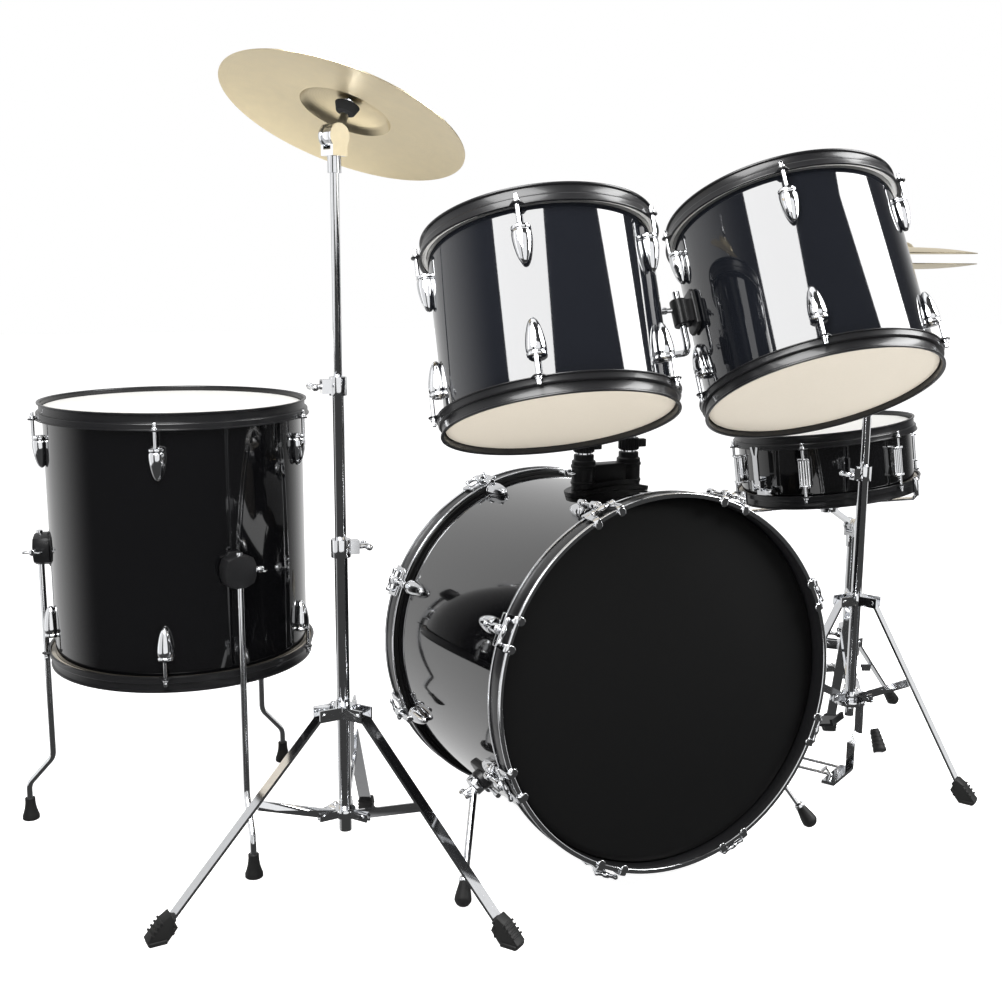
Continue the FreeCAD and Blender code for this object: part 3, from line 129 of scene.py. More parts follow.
RUBBER = material("rubber", (0.011, 0.011, 0.011), 0.6, vary=0.08, bump=0.3, scale=500)
BRONZE = material("bronze", (0.86, 0.74, 0.50), 0.32, metal=1.0, vary=0.05, bump=0.1, rings=85)
FELT = material("felt", (0.02, 0.02, 0.02), 0.95, vary=0.03, bump=0.8, scale=900)
PALE_FELT = material("pale_felt", (0.55, 0.53, 0.48), 0.95, vary=0.03, bump=0.8, scale=900)
WIRE = material("steel_wire", (0.6, 0.6, 0.62), 0.2, metal=1.0, vary=0.05, scale=200)

SLOT_LOOK = {
    "black_lacquer": LACQUER,
    "black_film": BLACK_FILM,
    "white_film": COATED_FILM,
    "clear_film": HAZY_FILM,
    "black_steel": ENAMEL,
    "black_casting": CASTING,
    "chrome": CHROME,
    "steel_wire": WIRE,
    "cymbal_bronze": BRONZE,
    "rubber": RUBBER,
}
ROWS = {row["node"]: row for row in frame["record"]["subparts"]}
BODY_OF = {
    node: body for body, nodes in frame["record"]["behaviour"]["bodies"].items() for node in nodes
}
bright_work = bpy.data.collections.new("bright_work")

# ---------------------------------------------------------------- building pieces, in millimetres


def at(x, y, z=0.0):
    return Vector((x - FOOTPRINT_X, y - FOOTPRINT_Y, z))


def polar(centre, circle, angle, z):
    turned = math.radians(angle)
    return Vector((centre.x + circle * math.cos(turned), centre.y + circle * math.sin(turned), z))


def shift(x=0.0, y=0.0, z=0.0):
    return Matrix.Translation((x, y, z))


def spin(angle):
    return Matrix.Rotation(math.radians(angle), 4, "Z")


def frame_of(origin, up, right=RIGHT):
    """A frame with its Z along `up` and its X as near to `right` as that allows."""
    z_axis = Vector(up).normalized()
    x_axis = (right - z_axis * right.dot(z_axis)).normalized()
    turned = Matrix((x_axis, z_axis.cross(x_axis), z_axis)).transposed()
    return Matrix.Translation(origin) @ turned.to_4x4()


def pointing(origin, along):
    return Matrix.Translation(origin) @ UP.rotation_difference(along).to_matrix().to_4x4()


def soft(points, radius, closed=False, steps=3):
    """The same line with its corners rounded."""
    made = []
    last = len(points) - 1
    for n, corner in enumerate(points):
        here = Vector(corner)
        if not closed and n in (0, last):
            made.append(here)
            continue
        before = Vector(points[n - 1]) - here
        after = Vector(points[(n + 1) % len(points)]) - here
        start = here + before.normalized() * min(radius, before.length * 0.45)
        end = here + after.normalized() * min(radius, after.length * 0.45)
        for step in range(steps + 1):
            part = step / steps
            made.append(
                start * (1 - part) ** 2 + here * (2 * part * (1 - part)) + end * part ** 2)
    return made


class Piece:
    def __init__(self, name, look, node, slot=None, home=None):
        self.name = name
        self.look = look
        self.node = node
        self.slot = slot or ROWS[node]["material_slot"]
        self.home = home or Matrix()
        self.verts = []
        self.faces = []

    def take(self, place, shape):
        start = len(self.verts)
        shape.verts.index_update()
        self.verts += [place @ vert.co for vert in shape.verts]
        self.faces += [[start + vert.index for vert in face.verts] for face in shape.faces]
        shape.free()

    def lathe(self, place, outline, steps=48, closed=False, hold=None):
        """An outline of (radius, height) turned about the place's Z."""
        rows = []
        for radius, height in outline:
            row = []
            count = 1 if radius < 0.01 else steps
            for n in range(count):
                angle = math.tau * n / steps
                point = Vector((radius * math.cos(angle), radius * math.sin(angle), height))
                row.append(len(self.verts))
                self.verts.append(place @ point if hold is None else hold(place @ point))
            rows.append(row)
        if closed:
            rows.append(rows[0])
        for low, high in zip(rows, rows[1:]):
            for n in range(steps):
                m = (n + 1) % steps
                corners = [low[n % len(low)], low[m % len(low)],
                           high[m % len(high)], high[n % len(high)]]
                corners = list(dict.fromkeys(corners))
                if len(corners) > 2:
                    self.faces.append(corners)

    def round_bar(self, place, radius, low, high, edge=0.8, steps=32):
        """A short solid cylinder with its two edges rounded."""
        outline = soft([(0, low), (radius, low), (radius, high), (0, high)], edge)
        self.lathe(place, outline, steps)

    def sweep(self, line, section, across):
        """A closed section of (across, out) carried along a line."""
        rows = []
        for n, point in enumerate(line):
            ahead = line[min(n + 1, len(line) - 1)] - point
            behind = point - line[max(n - 1, 0)]
            along = (ahead.normalized() + behind.normalized()).normalized()
            across = (across - along * across.dot(along)).normalized()
            out = along.cross(across)
            rows.append(range(len(self.verts), len(self.verts) + len(section)))
            self.verts += [point + across * a + out * b for a, b in section]
        count = len(section)
        for low, high in zip(rows, rows[1:]):
            for n in range(count):
                m = (n + 1) % count
                self.faces.append([low[n], low[m], high[m], high[n]])
        self.faces.append(list(rows[0]))
        self.faces.append(list(rows[-1]))

    def tube(self, points, radius, corner=12, sides=20):
        """A round rod along the points, with rounded bends."""
        line = soft(points, corner, steps=6)
        start = (line[1] - line[0]).normalized()
        section = [
            (radius * math.cos(math.tau * n / sides), radius * math.sin(math.tau * n / sides))
            for n in range(sides)
        ]
        self.sweep(line, section, start.orthogonal())

    def ribbon(self, points, width, thickness, across, corner=6):
        """A flat bar along the points, its broad side running along `across`."""
        line = soft(points, corner, steps=5)
        half = width / 2
        deep = thickness / 2
        corners = [(-half, -deep), (half, -deep), (half, deep), (-half, deep)]
        self.sweep(line, soft(corners, thickness * 0.35, closed=True, steps=2), across)

    def block(self, place, size, bevel=1.2):
        shape = bmesh.new()
        bmesh.ops.create_cube(shape, size=1)
        bmesh.ops.scale(shape, vec=size, verts=shape.verts)
        bmesh.ops.bevel(
            shape, geom=shape.edges[:], offset=bevel, segments=3, profile=0.5, affect="EDGES")
        self.take(place, shape)

    def prism(self, place, outline, thickness, bevel=0.8):
        """An outline in the place's XY plane, as a plate centred on that plane."""
        shape = bmesh.new()
        low = shape.faces.new([shape.verts.new((x, y, -thickness / 2)) for x, y in outline])
        grown = bmesh.ops.extrude_face_region(shape, geom=[low])["geom"]
        rising = [one for one in grown if isinstance(one, bmesh.types.BMVert)]
        bmesh.ops.translate(shape, vec=(0, 0, thickness), verts=rising)
        rims = [edge for edge in shape.edges if abs(edge.verts[0].co.z - edge.verts[1].co.z) < 0.01]
        bmesh.ops.bevel(
            shape, geom=rims, offset=bevel, segments=2, profile=0.5, affect="EDGES")
        self.take(place, shape)

    def wing(self, head, away, size=1.0):
        """A bolt from `head` along `away` with a pair of rounded wings."""
        away = away.normalized()
        across = away.cross(UP)
        if across.length < 0.5:
            across = away.cross(RIGHT)
        across.normalize()
        end = head + away * 15
        self.tube([head, end + away * 2], 3.6, sides=16)
        self.round_bar(pointing(end, away), 5.2, -6, 3, 1.2, 20)
        half = [(3, -4), (8, -2.5), (13, -4.5), (17, -3), (18, 1.5), (15.5, 5), (11, 5.5),
                (6.5, 3), (0, 2)]
        outline = [(x * size, y) for x, y in half]
        outline += [(-x, y) for x, y in reversed(outline[:-1])]
        turned = Matrix((across, away, across.cross(away))).transposed()
        self.prism(Matrix.Translation(end) @ turned.to_4x4(), outline, 3.2, 1.0)

    def done(self):
        mesh = bpy.data.meshes.new(self.name)
        inside = self.home.inverted()
        mesh.from_pydata([inside @ vert * MM for vert in self.verts], [], self.faces)
        shape = bmesh.new()
        shape.from_mesh(mesh)
        bmesh.ops.recalc_face_normals(shape, faces=shape.faces)
        shape.to_mesh(mesh)
        shape.free()
        mesh.polygons.foreach_set("use_smooth", [True] * len(mesh.polygons))
        mesh.set_sharp_from_angle(angle=math.radians(36))
        mesh.materials.append(self.look)
        thing = bpy.data.objects.new(self.name, mesh)
        bpy.context.scene.collection.objects.link(thing)
        thing.matrix_world = Matrix.Translation(self.home.to_translation() * MM) @ (
            self.home.to_3x3().to_4x4())
        if self.look is CHROME:
            bright_work.objects.link(thing)
        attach(thing, BODY_OF[self.node])
        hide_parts(self.node)
        return thing


# ---------------------------------------------------------------- drums


def drum_frame(x, y, z, lean_x, lean_y, rise):
    up = Vector((lean_x, lean_y, 1)).normalized()
    return frame_of(at(x, y, z) + up * rise, up)


def both_ends(count, turned):
    around = [spin(turned + 360 / count * n) for n in range(count)]
    return around + [place @ FLIP for place in around]


def shell(name, look, node, place, radius, edge):
    inner = radius - 7.5
    outline = [
        (inner, 3 - edge), (radius - 1.5, -edge), (radius, 0.8 - edge), (radius, -edge * 0.33),
        (radius, edge * 0.33), (radius, edge - 0.8), (radius - 1.5, edge), (inner, edge - 3),
    ]
    piece = Piece(name, look, node)
    piece.lathe(place, outline, 192, closed=True)
    piece.done()


def head(name, look, node, slot, place, radius, edge, far):
    """The film with its collar over the bearing edge, and the flesh hoop it is crimped into."""
    outline = [
        (0, edge + 1), (radius - 24, edge + 1), (radius - 9, edge + 1), (radius - 1.5, edge + 0.9),
        (radius + 1.1, edge - 0.8), (radius + 1.5, edge - 7.4), (far - 0.8, edge - 7.6),
        (far, edge - 8.6), (far, edge - 12.6), (far - 0.8, edge - 13.2), (radius + 0.5, edge - 13.2),
        (radius + 0.5, edge), (0, edge),
    ]
    piece = Piece(name, look, node, slot)
    piece.lathe(place, outline, 128)
    piece.done()


def flanged_hoop(piece, place, radius, rim, lugs, turned):
    """A pressed hoop: rolled lip, band, step over the flesh hoop, skirt and ears for the rods."""
    outline = [
        (radius + 3, rim - 17), (radius + 3, rim - 1.2), (radius + 4.2, rim), (radius + 8.1, rim),
        (radius + 8.1, rim - 2.4), (radius + 5, rim - 3.6), (radius + 5, rim - 15),
        (radius + 8.6, rim - 15), (radius + 9.8, rim - 16.4), (radius + 9.8, rim - 24),
        (radius + 12, rim - 24), (radius + 12, rim - 26), (radius + 7.8, rim - 26),
        (radius + 7.8, rim - 17),
    ]
    piece.lathe(place, soft(outline, 0.9, closed=True, steps=2), 160, closed=True)
    circle = radius + ROD_CIRCLE
    bow = [
        (circle + 7 * math.cos(math.radians(angle)), 7 * math.sin(math.radians(angle)))
        for angle in range(-75, 76, 25)
    ]
    ear = [(radius + 9, -13), (radius + 12, -9.5)] + bow + [(radius + 12, 9.5), (radius + 9, 13)]
    for n in range(lugs):
        piece.prism(place @ spin(turned + 360 / lugs * n) @ shift(0, 0, rim - 25), ear, 2, 0.5)


def drop_lug(piece, drum, place, radius, top):
    """A drop-shaped casting, its broad collared end towards the hoop, seated on the shell."""
    outline = [
        (0, 0), (5, 0), (6, -0.3), (6.2, -1.2), (10.6, -1.3), (12.4, -2.6), (12.9, -5),
        (12.3, -6.8), (11.6, -7.6), (12.6, -9), (13, -12), (12.9, -18), (12.2, -24), (11, -31),
        (9.6, -37), (7.8, -43), (5.6, -47.6), (3, -51), (0, -52),
    ]
    inside = drum.inverted()

    def seat(point):
        local = inside @ point
        reach = math.hypot(local.x, local.y)
        if reach < radius - 0.6:
            grow = (radius - 0.6) / reach
            local = Vector((local.x * grow, local.y * grow, local.z))
        return drum @ local

    piece.lathe(place @ shift(radius + 5, 0, top), outline, 36, hold=seat)


def tension_rod(piece, place, radius, rim, lug_end):
    """A threaded rod with a washer, a round shoulder and a square-cut head."""
    here = place @ shift(radius + ROD_CIRCLE, 0, 0)
    seat = rim - 24
    piece.tube([here @ Vector((0, 0, lug_end - 1)), here @ Vector((0, 0, seat + 5))], 2.8)
    piece.round_bar(here, 5.2, seat, seat + 1.4, 0.4, 24)
    piece.round_bar(here, 4.4, seat + 1.4, seat + 4.4, 0.8, 24)
    piece.block(here @ shift(0, 0, seat + 7.6), (5, 5, 7), 0.7)


def double_lug(piece, drum, place, radius):
    """A ribbed lug that takes a rod from each side, on a shallow shell."""
    for side in (-7.2, -2.4, 2.4, 7.2):
        start = place @ Vector((radius + 11.5, side, -24))
        end = place @ Vector((radius + 11.5, side, 24))
        piece.tube([start, end], 3.6, sides=16)
    piece.block(place @ shift(radius + 4.5, 0, 0), (13, 21, 50), 2)
    for side in (-25.5, 25.5):
        piece.block(place @ shift(radius + 7.5, 0, side), (20, 21, 4.6), 1.4)


def drum(prefix, place, radius, height, lugs, turned, look, top_film, bottom_film, shallow=False):
    rim = height / 2
    edge = rim - BEARING_EDGE
    lug_end = 27 if shallow else rim - 50
    far = radius + FLESH_HOOP_REACH
    shell(f"{prefix}_lacquered_shell", look, f"{prefix}_shell", place, radius, edge)
    node = f"{prefix}_heads"
    head(f"{prefix}_batter_head", top_film, node, "white_film", place, radius, edge, far)
    head(f"{prefix}_resonant_head", bottom_film, node, "clear_film", place @ FLIP, radius, edge, far)
    for name, end in (("upper", place), ("lower", place @ spin(turned) @ FLIP @ spin(-turned))):
        piece = Piece(f"{prefix}_{name}_hoop", ENAMEL, f"{prefix}_hoops")
        flanged_hoop(piece, end, radius, rim, lugs, turned)
        piece.done()
    casting = Piece(f"{prefix}_lug_castings", CHROME, f"{prefix}_lugs")
    rods = Piece(f"{prefix}_rods", CHROME, f"{prefix}_tension_rods")
    places = both_ends(lugs, turned)
    for end in places:
        tension_rod(rods, place @ end, radius, rim, lug_end)
        if not shallow:
            drop_lug(casting, place, place @ end, radius, lug_end)
    if shallow:
        for end in places[:lugs]:
            double_lug(casting, place, place @ end, radius)
    casting.done()
    rods.done()


SMALL_FRAME = drum_frame(-226, -51, 726, 0.049, 0.409, 136.25)
LARGE_FRAME = drum_frame(195, -71, 751, 0.0435, 0.532, 150.25)
SMALL_RADIUS = 152.4
LARGE_RADIUS = THIRTEEN_INCH
FLOOR_RADIUS = 203.2
FLOOR_HEIGHT = 427
FLOOR_CENTRE = at(-612, 551)
FLOOR_FRAME = Matrix.Translation(FLOOR_CENTRE + UP * (292.1 + FLOOR_HEIGHT / 2))
SNARE_FRAME = drum_frame(622, 438, 632, -0.1, 0.085, -69.85)

drum("tom_small", SMALL_FRAME, SMALL_RADIUS, 272.5, 5, 19, NAVY, COATED_FILM, HAZY_FILM)
drum("tom_large", LARGE_FRAME, LARGE_RADIUS, 300.5, 5, 19, NAVY, COATED_FILM, HAZY_FILM)
drum("floor_tom", FLOOR_FRAME, FLOOR_RADIUS, FLOOR_HEIGHT, 5, 35, LACQUER, COATED_FILM, HAZY_FILM)
drum("snare", SNARE_FRAME, THIRTEEN_INCH, 139.7, 6, 38, LACQUER, COATED_FILM, HAZY_FILM,
     shallow=True)

# ---------------------------------------------------------------- bass drum

BASS_RADIUS = 279.4
HOOP_RADIUS = 290.5
BASS_RIM = 228
BASS_BACK = 190
BASS_EDGE = 203.2
BASS_FLESH = 285.2
PITCH = math.radians(3.4)
BASS_AXIS = Vector((0, -math.cos(PITCH), math.sin(PITCH)))
FRONT_Z = HOOP_RADIUS * math.cos(PITCH) + 2 * BASS_RIM * math.sin(PITCH)
BASS_FRAME = frame_of(at(0, 0, FRONT_Z) - BASS_AXIS * BASS_RIM, BASS_AXIS)
BASS_PLACES = both_ends(8, 22.5)


def bass_hoops():
    """A black channel between two rolled edges made chrome, a painted highlight along the black steel
    hoop's rolled edges, at each end of the drum.
    """
    black = Piece("bass_hoop_channels", ENAMEL, "bass_hoops")
    # The rolled edges get chrome so they show as bright lines: a painted highlight on edges that are
    # black steel.
    painted_highlight_edges = Piece("bass_hoop_painted_highlight_edges", CHROME, "bass_hoops", "chrome")
    inner = HOOP_RADIUS - 7.5
    channel = [
        (inner, 196.4), (inner, BASS_RIM - 1.2), (HOOP_RADIUS - 2.4, BASS_RIM - 1.2),
        (HOOP_RADIUS - 2.4, BASS_BACK + 1), (inner + 3.2, BASS_BACK + 1), (inner + 3.2, 196.4),
    ]
    front = [
        (inner + 0.4, BASS_RIM - 3), (inner + 0.4, BASS_RIM), (HOOP_RADIUS, BASS_RIM),
        (HOOP_RADIUS, BASS_RIM - 4.4), (HOOP_RADIUS - 2.8, BASS_RIM - 4.4),
        (HOOP_RADIUS - 2.8, BASS_RIM - 3),
    ]
    rear = [
        (inner + 3.4, BASS_BACK), (inner + 3.4, BASS_BACK + 3), (HOOP_RADIUS - 2.6, BASS_BACK + 3),
        (HOOP_RADIUS - 2.6, BASS_BACK + 4.4), (HOOP_RADIUS, BASS_BACK + 4.4),
        (HOOP_RADIUS, BASS_BACK),
    ]
    for end in (BASS_FRAME, BASS_FRAME @ FLIP):
        black.lathe(end, soft(channel, 0.8, closed=True, steps=2), 192, closed=True)
        painted_highlight_edges.lathe(end, soft(front, 1.6, closed=True), 192, closed=True)
        painted_highlight_edges.lathe(end, soft(rear, 1.6, closed=True), 192, closed=True)
    black.done()
    painted_highlight_edges.done()


def claws():
    """Two hooks over each hoop's edge, joined by a bridge that the T-headed rod draws back."""
    piece = Piece("bass_claw_hooks", CHROME, "bass_claws")
    rods = Piece("bass_claw_rods", CHROME, "bass_claws")
    for end in BASS_PLACES:
        place = BASS_FRAME @ end
        piece.block(place @ shift(HOOP_RADIUS + 2.8, 0, BASS_BACK + 8), (4.6, 50, 12.4), 1.8)
        piece.round_bar(place @ shift(CLAW_CIRCLE, 0, 0), 7.3, BASS_BACK + 1, BASS_BACK + 16, 1.6)
        for side in (-21, 21):
            line = [
                place @ Vector(point)
                for point in (
                    (HOOP_RADIUS + 2.4, side * 0.86, BASS_BACK + 4),
                    (HOOP_RADIUS + 2.4, side * 0.94, BASS_BACK + 20),
                    (HOOP_RADIUS + 2.4, side, BASS_RIM + 2),
                    (HOOP_RADIUS - 9, side, BASS_RIM + 1.8),
                )
            ]
            piece.ribbon(line, 11, 3.2, place.to_3x3() @ BACK, 4)
            piece.round_bar(place @ shift(HOOP_RADIUS - 7, side, 0), 6.6, BASS_RIM + 0.2,
                            BASS_RIM + 3.4, 1.2, 28)
        rods.tube([place @ Vector((CLAW_CIRCLE, 0, BASS_BACK - 25)),
                   place @ Vector((CLAW_CIRCLE, 0, BASS_BACK + 30))], 2.8)
        rods.round_bar(place @ shift(CLAW_CIRCLE, 0, 0), 5.5, BASS_BACK + 16.2, BASS_BACK + 21.2,
                       1.2, 24)
        bar = [(0, -21), (2.6, -20.6), (4, -18.6), (4, -16), (3, -13), (3, -6), (4.4, -4),
               (4.4, 4), (3, 6), (3, 13), (4, 16), (4, 18.6), (2.6, 20.6), (0, 21)]
        across = place @ shift(CLAW_CIRCLE, 0, BASS_BACK + 30) @ Matrix.Rotation(QUARTER, 4, "X")
        rods.lathe(across, bar, 20)
    piece.done()
    rods.done()


def bass_lugs():
    piece = Piece("bass_lug_castings", CHROME, "bass_lugs")
    top = BASS_BACK - 24
    for end in BASS_PLACES:
        place = BASS_FRAME @ end
        drop_lug(piece, BASS_FRAME, place, BASS_RADIUS, top)
        piece.round_bar(place @ shift(CLAW_CIRCLE, 0, 0), 5.5, top - 13, top, 1.4, 28)
        piece.block(place @ shift(BASS_RADIUS + 14, 0, top - 6.5), (14, 8.6, 10.6), 2)
    piece.done()


shell("bass_lacquered_shell", LACQUER, "bass_shell", BASS_FRAME, BASS_RADIUS, BASS_EDGE)
for name, end in (("front", BASS_FRAME), ("batter", BASS_FRAME @ FLIP)):
    head(f"bass_{name}_head", BLACK_FILM, "bass_heads", "black_film", end, BASS_RADIUS, BASS_EDGE,
         BASS_FLESH)
bass_hoops()
claws()
bass_lugs()


SPUR_REACH = 325
SPUR_BACK = 48


def spur_frame(side):
    angle = -32 if side > 0 else 212
    return BASS_FRAME @ shift(0, 0, 68) @ spin(angle) @ shift(BASS_RADIUS, 0, 0)


def spurs():
    """A casting on each side of the shell, and the folding rod with its pointed rubber tip."""
    castings = Piece("spur_castings", CASTING, "spur_brackets")
    for name, side in (("left", -1), ("right", 1)):
        place = spur_frame(side)
        outward = place.to_3x3() @ RIGHT
        boss = place @ Matrix.Rotation(QUARTER, 4, "Y")
        castings.prism(
            place @ shift(2.2, 0, 0) @ Matrix.Rotation(QUARTER, 4, "Y"),
            [(-36, -14), (-28, -21), (28, -21), (36, -14), (36, 14), (28, 21), (-28, 21), (-36, 14)],
            8, 2)
        castings.round_bar(boss, 16.8, 2, 17.4, 2, 36)
        node = f"spur_{name}"
        foot = at(side * SPUR_REACH, SPUR_BACK)
        pivot = place @ Vector((26, 0, 0))
        along = (foot - pivot).normalized()
        low = foot + UP * 5 - along * 40
        steel = Piece(f"{node}_rod", CHROME, node)
        steel.round_bar(boss, 15.8, 17.9, 30.6, 2.4, 36)
        steel.wing(place @ Vector((30, 0, 0)), outward, 0.85)
        steel.tube([pivot, low], 5.5)
        steel.lathe(pointing(low - along * 8, along),
                    soft([(0, 0), (7, 0), (9, 3), (9, 8), (8.4, 9), (0, 9)], 1), 32)
        steel.done()
        tip = Piece(f"{node}_tip", RUBBER, node, "rubber")
        outline = [(0, 0.5), (8, 0.5), (9.6, 8), (11.6, 17), (12.8, 24), (12.8, 28), (9, 34),
                   (4.8, 36.4), (0, 36.8)]
        tip.lathe(pointing(low, along), soft(outline, 1.2), 32)
        tip.done()
    castings.done()


spurs()

# ---------------------------------------------------------------- rack tom holder


HOLDER_TOP = 637


def post_foot(side):
    return at(-6 + 41 * side, 203, HOLDER_TOP)


def ratchet_centre(side):
    foot = post_foot(side)
    return Vector((foot.x, foot.y, 760 if side < 0 else 785))


def saddle(piece, centre, low, high, wide, deep, steps=24):
    """A rounded plate that follows the bass shell, from `low` to `high` above its surface."""
    inside = BASS_FRAME.inverted()
    rows = []
    for layer in (low, high):
        row = []
        for n in range(steps):
            angle = math.tau * n / steps
            x = math.copysign(abs(math.cos(angle)) ** 0.6, math.cos(angle)) * wide / 2
            y = math.copysign(abs(math.sin(angle)) ** 0.6, math.sin(angle)) * deep / 2
            local = inside @ (centre + Vector((x, y, 600)))
            grow = (BASS_RADIUS + layer) / math.hypot(local.x, local.y)
            row.append(len(piece.verts))
            piece.verts.append(BASS_FRAME @ Vector((local.x * grow, local.y * grow, local.z)))
        rows.append(row)
    for n in range(steps):
        m = (n + 1) % steps
        piece.faces.append([rows[0][n], rows[0][m], rows[1][m], rows[1][n]])
    piece.faces += rows


def tom_holder():
    """A casting on the shell's top with two sockets, and the bolts that grip the posts."""
    body = Piece("tom_holder_casting", CASTING, "tom_holder_base")
    bolts = Piece("tom_holder_bolts", CHROME, "tom_holder_base", "chrome")
    for side in (-1, 1):
        foot = post_foot(side)
        socket = soft([(11.2, -60), (19, -60), (19, -5), (16, -4), (16, 5), (11.2, 5)], 1.6,
                      closed=True)
        body.lathe(Matrix.Translation(foot), socket, 40, closed=True)
        for ring in (-14, -40):
            body.round_bar(Matrix.Translation(foot), 20.4, ring - 2.5, ring + 2.5, 1.6, 40)
        outward = Vector((0.15, 1, 0)) if side > 0 else Vector((-1, -0.15, 0))
        bolts.wing(foot + outward.normalized() * 17 - UP * 22, outward, 0.95)
    centre = at(-6, 203)
    body.block(Matrix.Translation(centre + UP * (HOLDER_TOP - 36)), (82, 28, 50), 3)
    saddle(body, centre, 0.4, 8, 150, 66)
    saddle(body, centre, 7, 15, 118, 50)
    body.done()
    bolts.done()


def holder_post(prefix, side):
    """A post in its socket, with its memory collar and the cheeks of its ratchet."""
    node = f"{prefix}_post"
    foot = post_foot(side)
    centre = ratchet_centre(side)
    steel = Piece(f"{node}_tube", CHROME, node)
    steel.tube([foot - UP * 52, centre - UP * 18], 11, sides=32)
    steel.done()
    black = Piece(f"{node}_ratchet", CASTING, node, "black_casting")
    here = Matrix.Translation(foot + UP * 8)
    black.round_bar(here, 15.4, 0, 20, 1.4, 40)
    for n in range(20):
        black.block(here @ spin(18 * n) @ shift(15.6, 0, 10), (2.4, 2.2, 17), 0.6)
    black.block(Matrix.Translation(foot + Vector((20, 0, 18))), (20, 11, 13), 1.6)
    turned = Matrix.Translation(centre) @ Matrix.Rotation(QUARTER, 4, "Y")
    for low, high in ((-16, -9.3), (9.3, 16)):
        black.round_bar(turned, 16.8, low, high, 1.2, 40)
        black.block(Matrix.Translation(centre + RIGHT * ((low + high) / 2) - UP * 14),
                    (6.5, 21.6, 16), 1)
    black.block(Matrix.Translation(centre - UP * 22), (31.6, 21.6, 10), 1.8)
    black.done()


def tom_bracket(prefix, drum_place, radius, angle):
    """A four-sided casting on the shell, with the barrel and wing bolt that grip the arm."""
    node = f"{prefix}_bracket"
    here = drum_place @ spin(angle) @ shift(radius, 0, 0)
    black = Piece(f"{node}_casting", CASTING, node)
    plate = here @ shift(3.6, 0, 0) @ Matrix.Rotation(QUARTER, 4, "Y")
    outline = [(-31, -14), (-24, -21), (24, -21), (31, -14), (31, 14), (24, 21), (-24, 21), (-31, 14)]
    black.prism(plate, outline, 7, 2)
    black.prism(here @ shift(12, 0, 0) @ Matrix.Rotation(QUARTER, 4, "Y"),
                [(-17, -12), (17, -12), (17, 12), (-17, 12)], 16, 3)
    barrel = soft([(5.4, -20), (12.3, -20), (12.3, 20), (5.4, 20)], 1.6, closed=True)
    black.lathe(here @ shift(22, 0, 0), barrel, 36, closed=True)
    black.done()
    bolt = Piece(f"{node}_bolt", CHROME, node, "chrome")
    bolt.wing(here @ Vector((33, 0, 6)), here.to_3x3() @ RIGHT, 0.85)
    bolt.done()


def tom_arm(prefix, side, drum_place, radius, angle):
    """The bent rod from the ratchet up through the bracket."""
    node = f"{prefix}_arm"
    here = drum_place @ spin(angle) @ shift(radius, 0, 0)
    centre = ratchet_centre(side)
    elbow = here @ Vector((22, 0, -62))
    steel = Piece(f"{node}_rod", CHROME, node)
    steel.tube([here @ Vector((22, 0, 34)), elbow, centre], 5.25, 16, 24)
    steel.done()
    tongue = Piece(f"{node}_tongue", CASTING, node, "black_casting")
    across = Matrix.Translation(centre) @ Matrix.Rotation(QUARTER, 4, "Y")
    tongue.round_bar(across, 15.8, -8.9, 8.9, 0.8, 40)
    tongue.tube([centre, centre + (elbow - centre).normalized() * 30], 6.7)
    tongue.done()


tom_holder()
for prefix, side, place, radius, angle in (
        ("tom_small", -1, SMALL_FRAME, SMALL_RADIUS, 22),
        ("tom_large", 1, LARGE_FRAME, LARGE_RADIUS, 165)):
    holder_post(prefix, side)
    tom_bracket(prefix, place, radius, angle)
    tom_arm(prefix, side, place, radius, angle)

# ---------------------------------------------------------------- floor tom legs


LEG_FIRST_ANGLE = 38.5
LEG_SPLAY = 2.9
LEG_CIRCLE = 223
LEG_FOOT_CIRCLE = 269


def floor_legs():
    """Three cranked rods, each gripped by a six-sided casting with a wing bolt at its side."""
    rods = Piece("floor_tom_leg_rods", CHROME, "floor_tom_legs")
    black = Piece("floor_tom_leg_castings", CASTING, "floor_tom_leg_brackets")
    bolts = Piece("floor_tom_leg_bolts", CHROME, "floor_tom_leg_brackets", "chrome")
    for n in range(3):
        foot = LEG_FIRST_ANGLE + 120 * n
        above = foot + LEG_SPLAY
        rods.tube([
            polar(FLOOR_CENTRE, LEG_CIRCLE, above, 505),
            polar(FLOOR_CENTRE, LEG_CIRCLE, above, 115),
            polar(FLOOR_CENTRE, LEG_FOOT_CIRCLE, foot, 62),
            polar(FLOOR_CENTRE, LEG_FOOT_CIRCLE, foot, 12),
        ], 5, 10, 24)
        here = Matrix.Translation(polar(FLOOR_CENTRE, FLOOR_RADIUS, above, 475)) @ spin(above)
        face = Matrix.Rotation(QUARTER, 4, "Y")
        black.prism(here @ shift(2.6, 0, 0) @ face,
                    [(-29, -8), (-14, -21), (14, -21), (29, -8), (29, 8), (14, 21), (-14, 21),
                     (-29, 8)], 6, 1.6)
        black.prism(here @ shift(14, 0, 0) @ face,
                    [(-25.6, -8), (-20, -21), (-8, -25.6), (8, -25.6), (20, -21), (25.6, -8), (25.6, 8),
                     (20, 21), (8, 25.6), (-8, 25.6), (-20, 21), (-25.6, 8)],
                    27.6, 3.4)
        outward = (here.to_3x3() @ Vector((0.15, 1, 0))).normalized()
        bolts.wing(here @ Vector((19.8, 0, 0)) + outward * 19, outward, 0.95)
    rods.done()
    black.done()
    bolts.done()


floor_legs()

# ---------------------------------------------------------------- cymbals


def cymbal(name, node, place, radius, bow, bell):
    """A bowed plate with a cupped bell and a hole for the rod."""
    cup = radius * 0.37
    under = []
    for n in range(25):
        part = n / 24
        under.append((radius * (1 - part) + cup * part, bow * (1 - (1 - part) ** 2)))
    for n in range(1, 13):
        part = n / 12
        across = cup * (1 - part) + 6 * part
        under.append((across, bow + bell * math.sqrt(1 - (across / cup) ** 2)))
    over = [(across, height + CYMBAL_SHEET) for across, height in reversed(under)]
    piece = Piece(name, BRONZE, node, home=place)
    piece.lathe(place, under + over, 128, closed=True)
    piece.done()


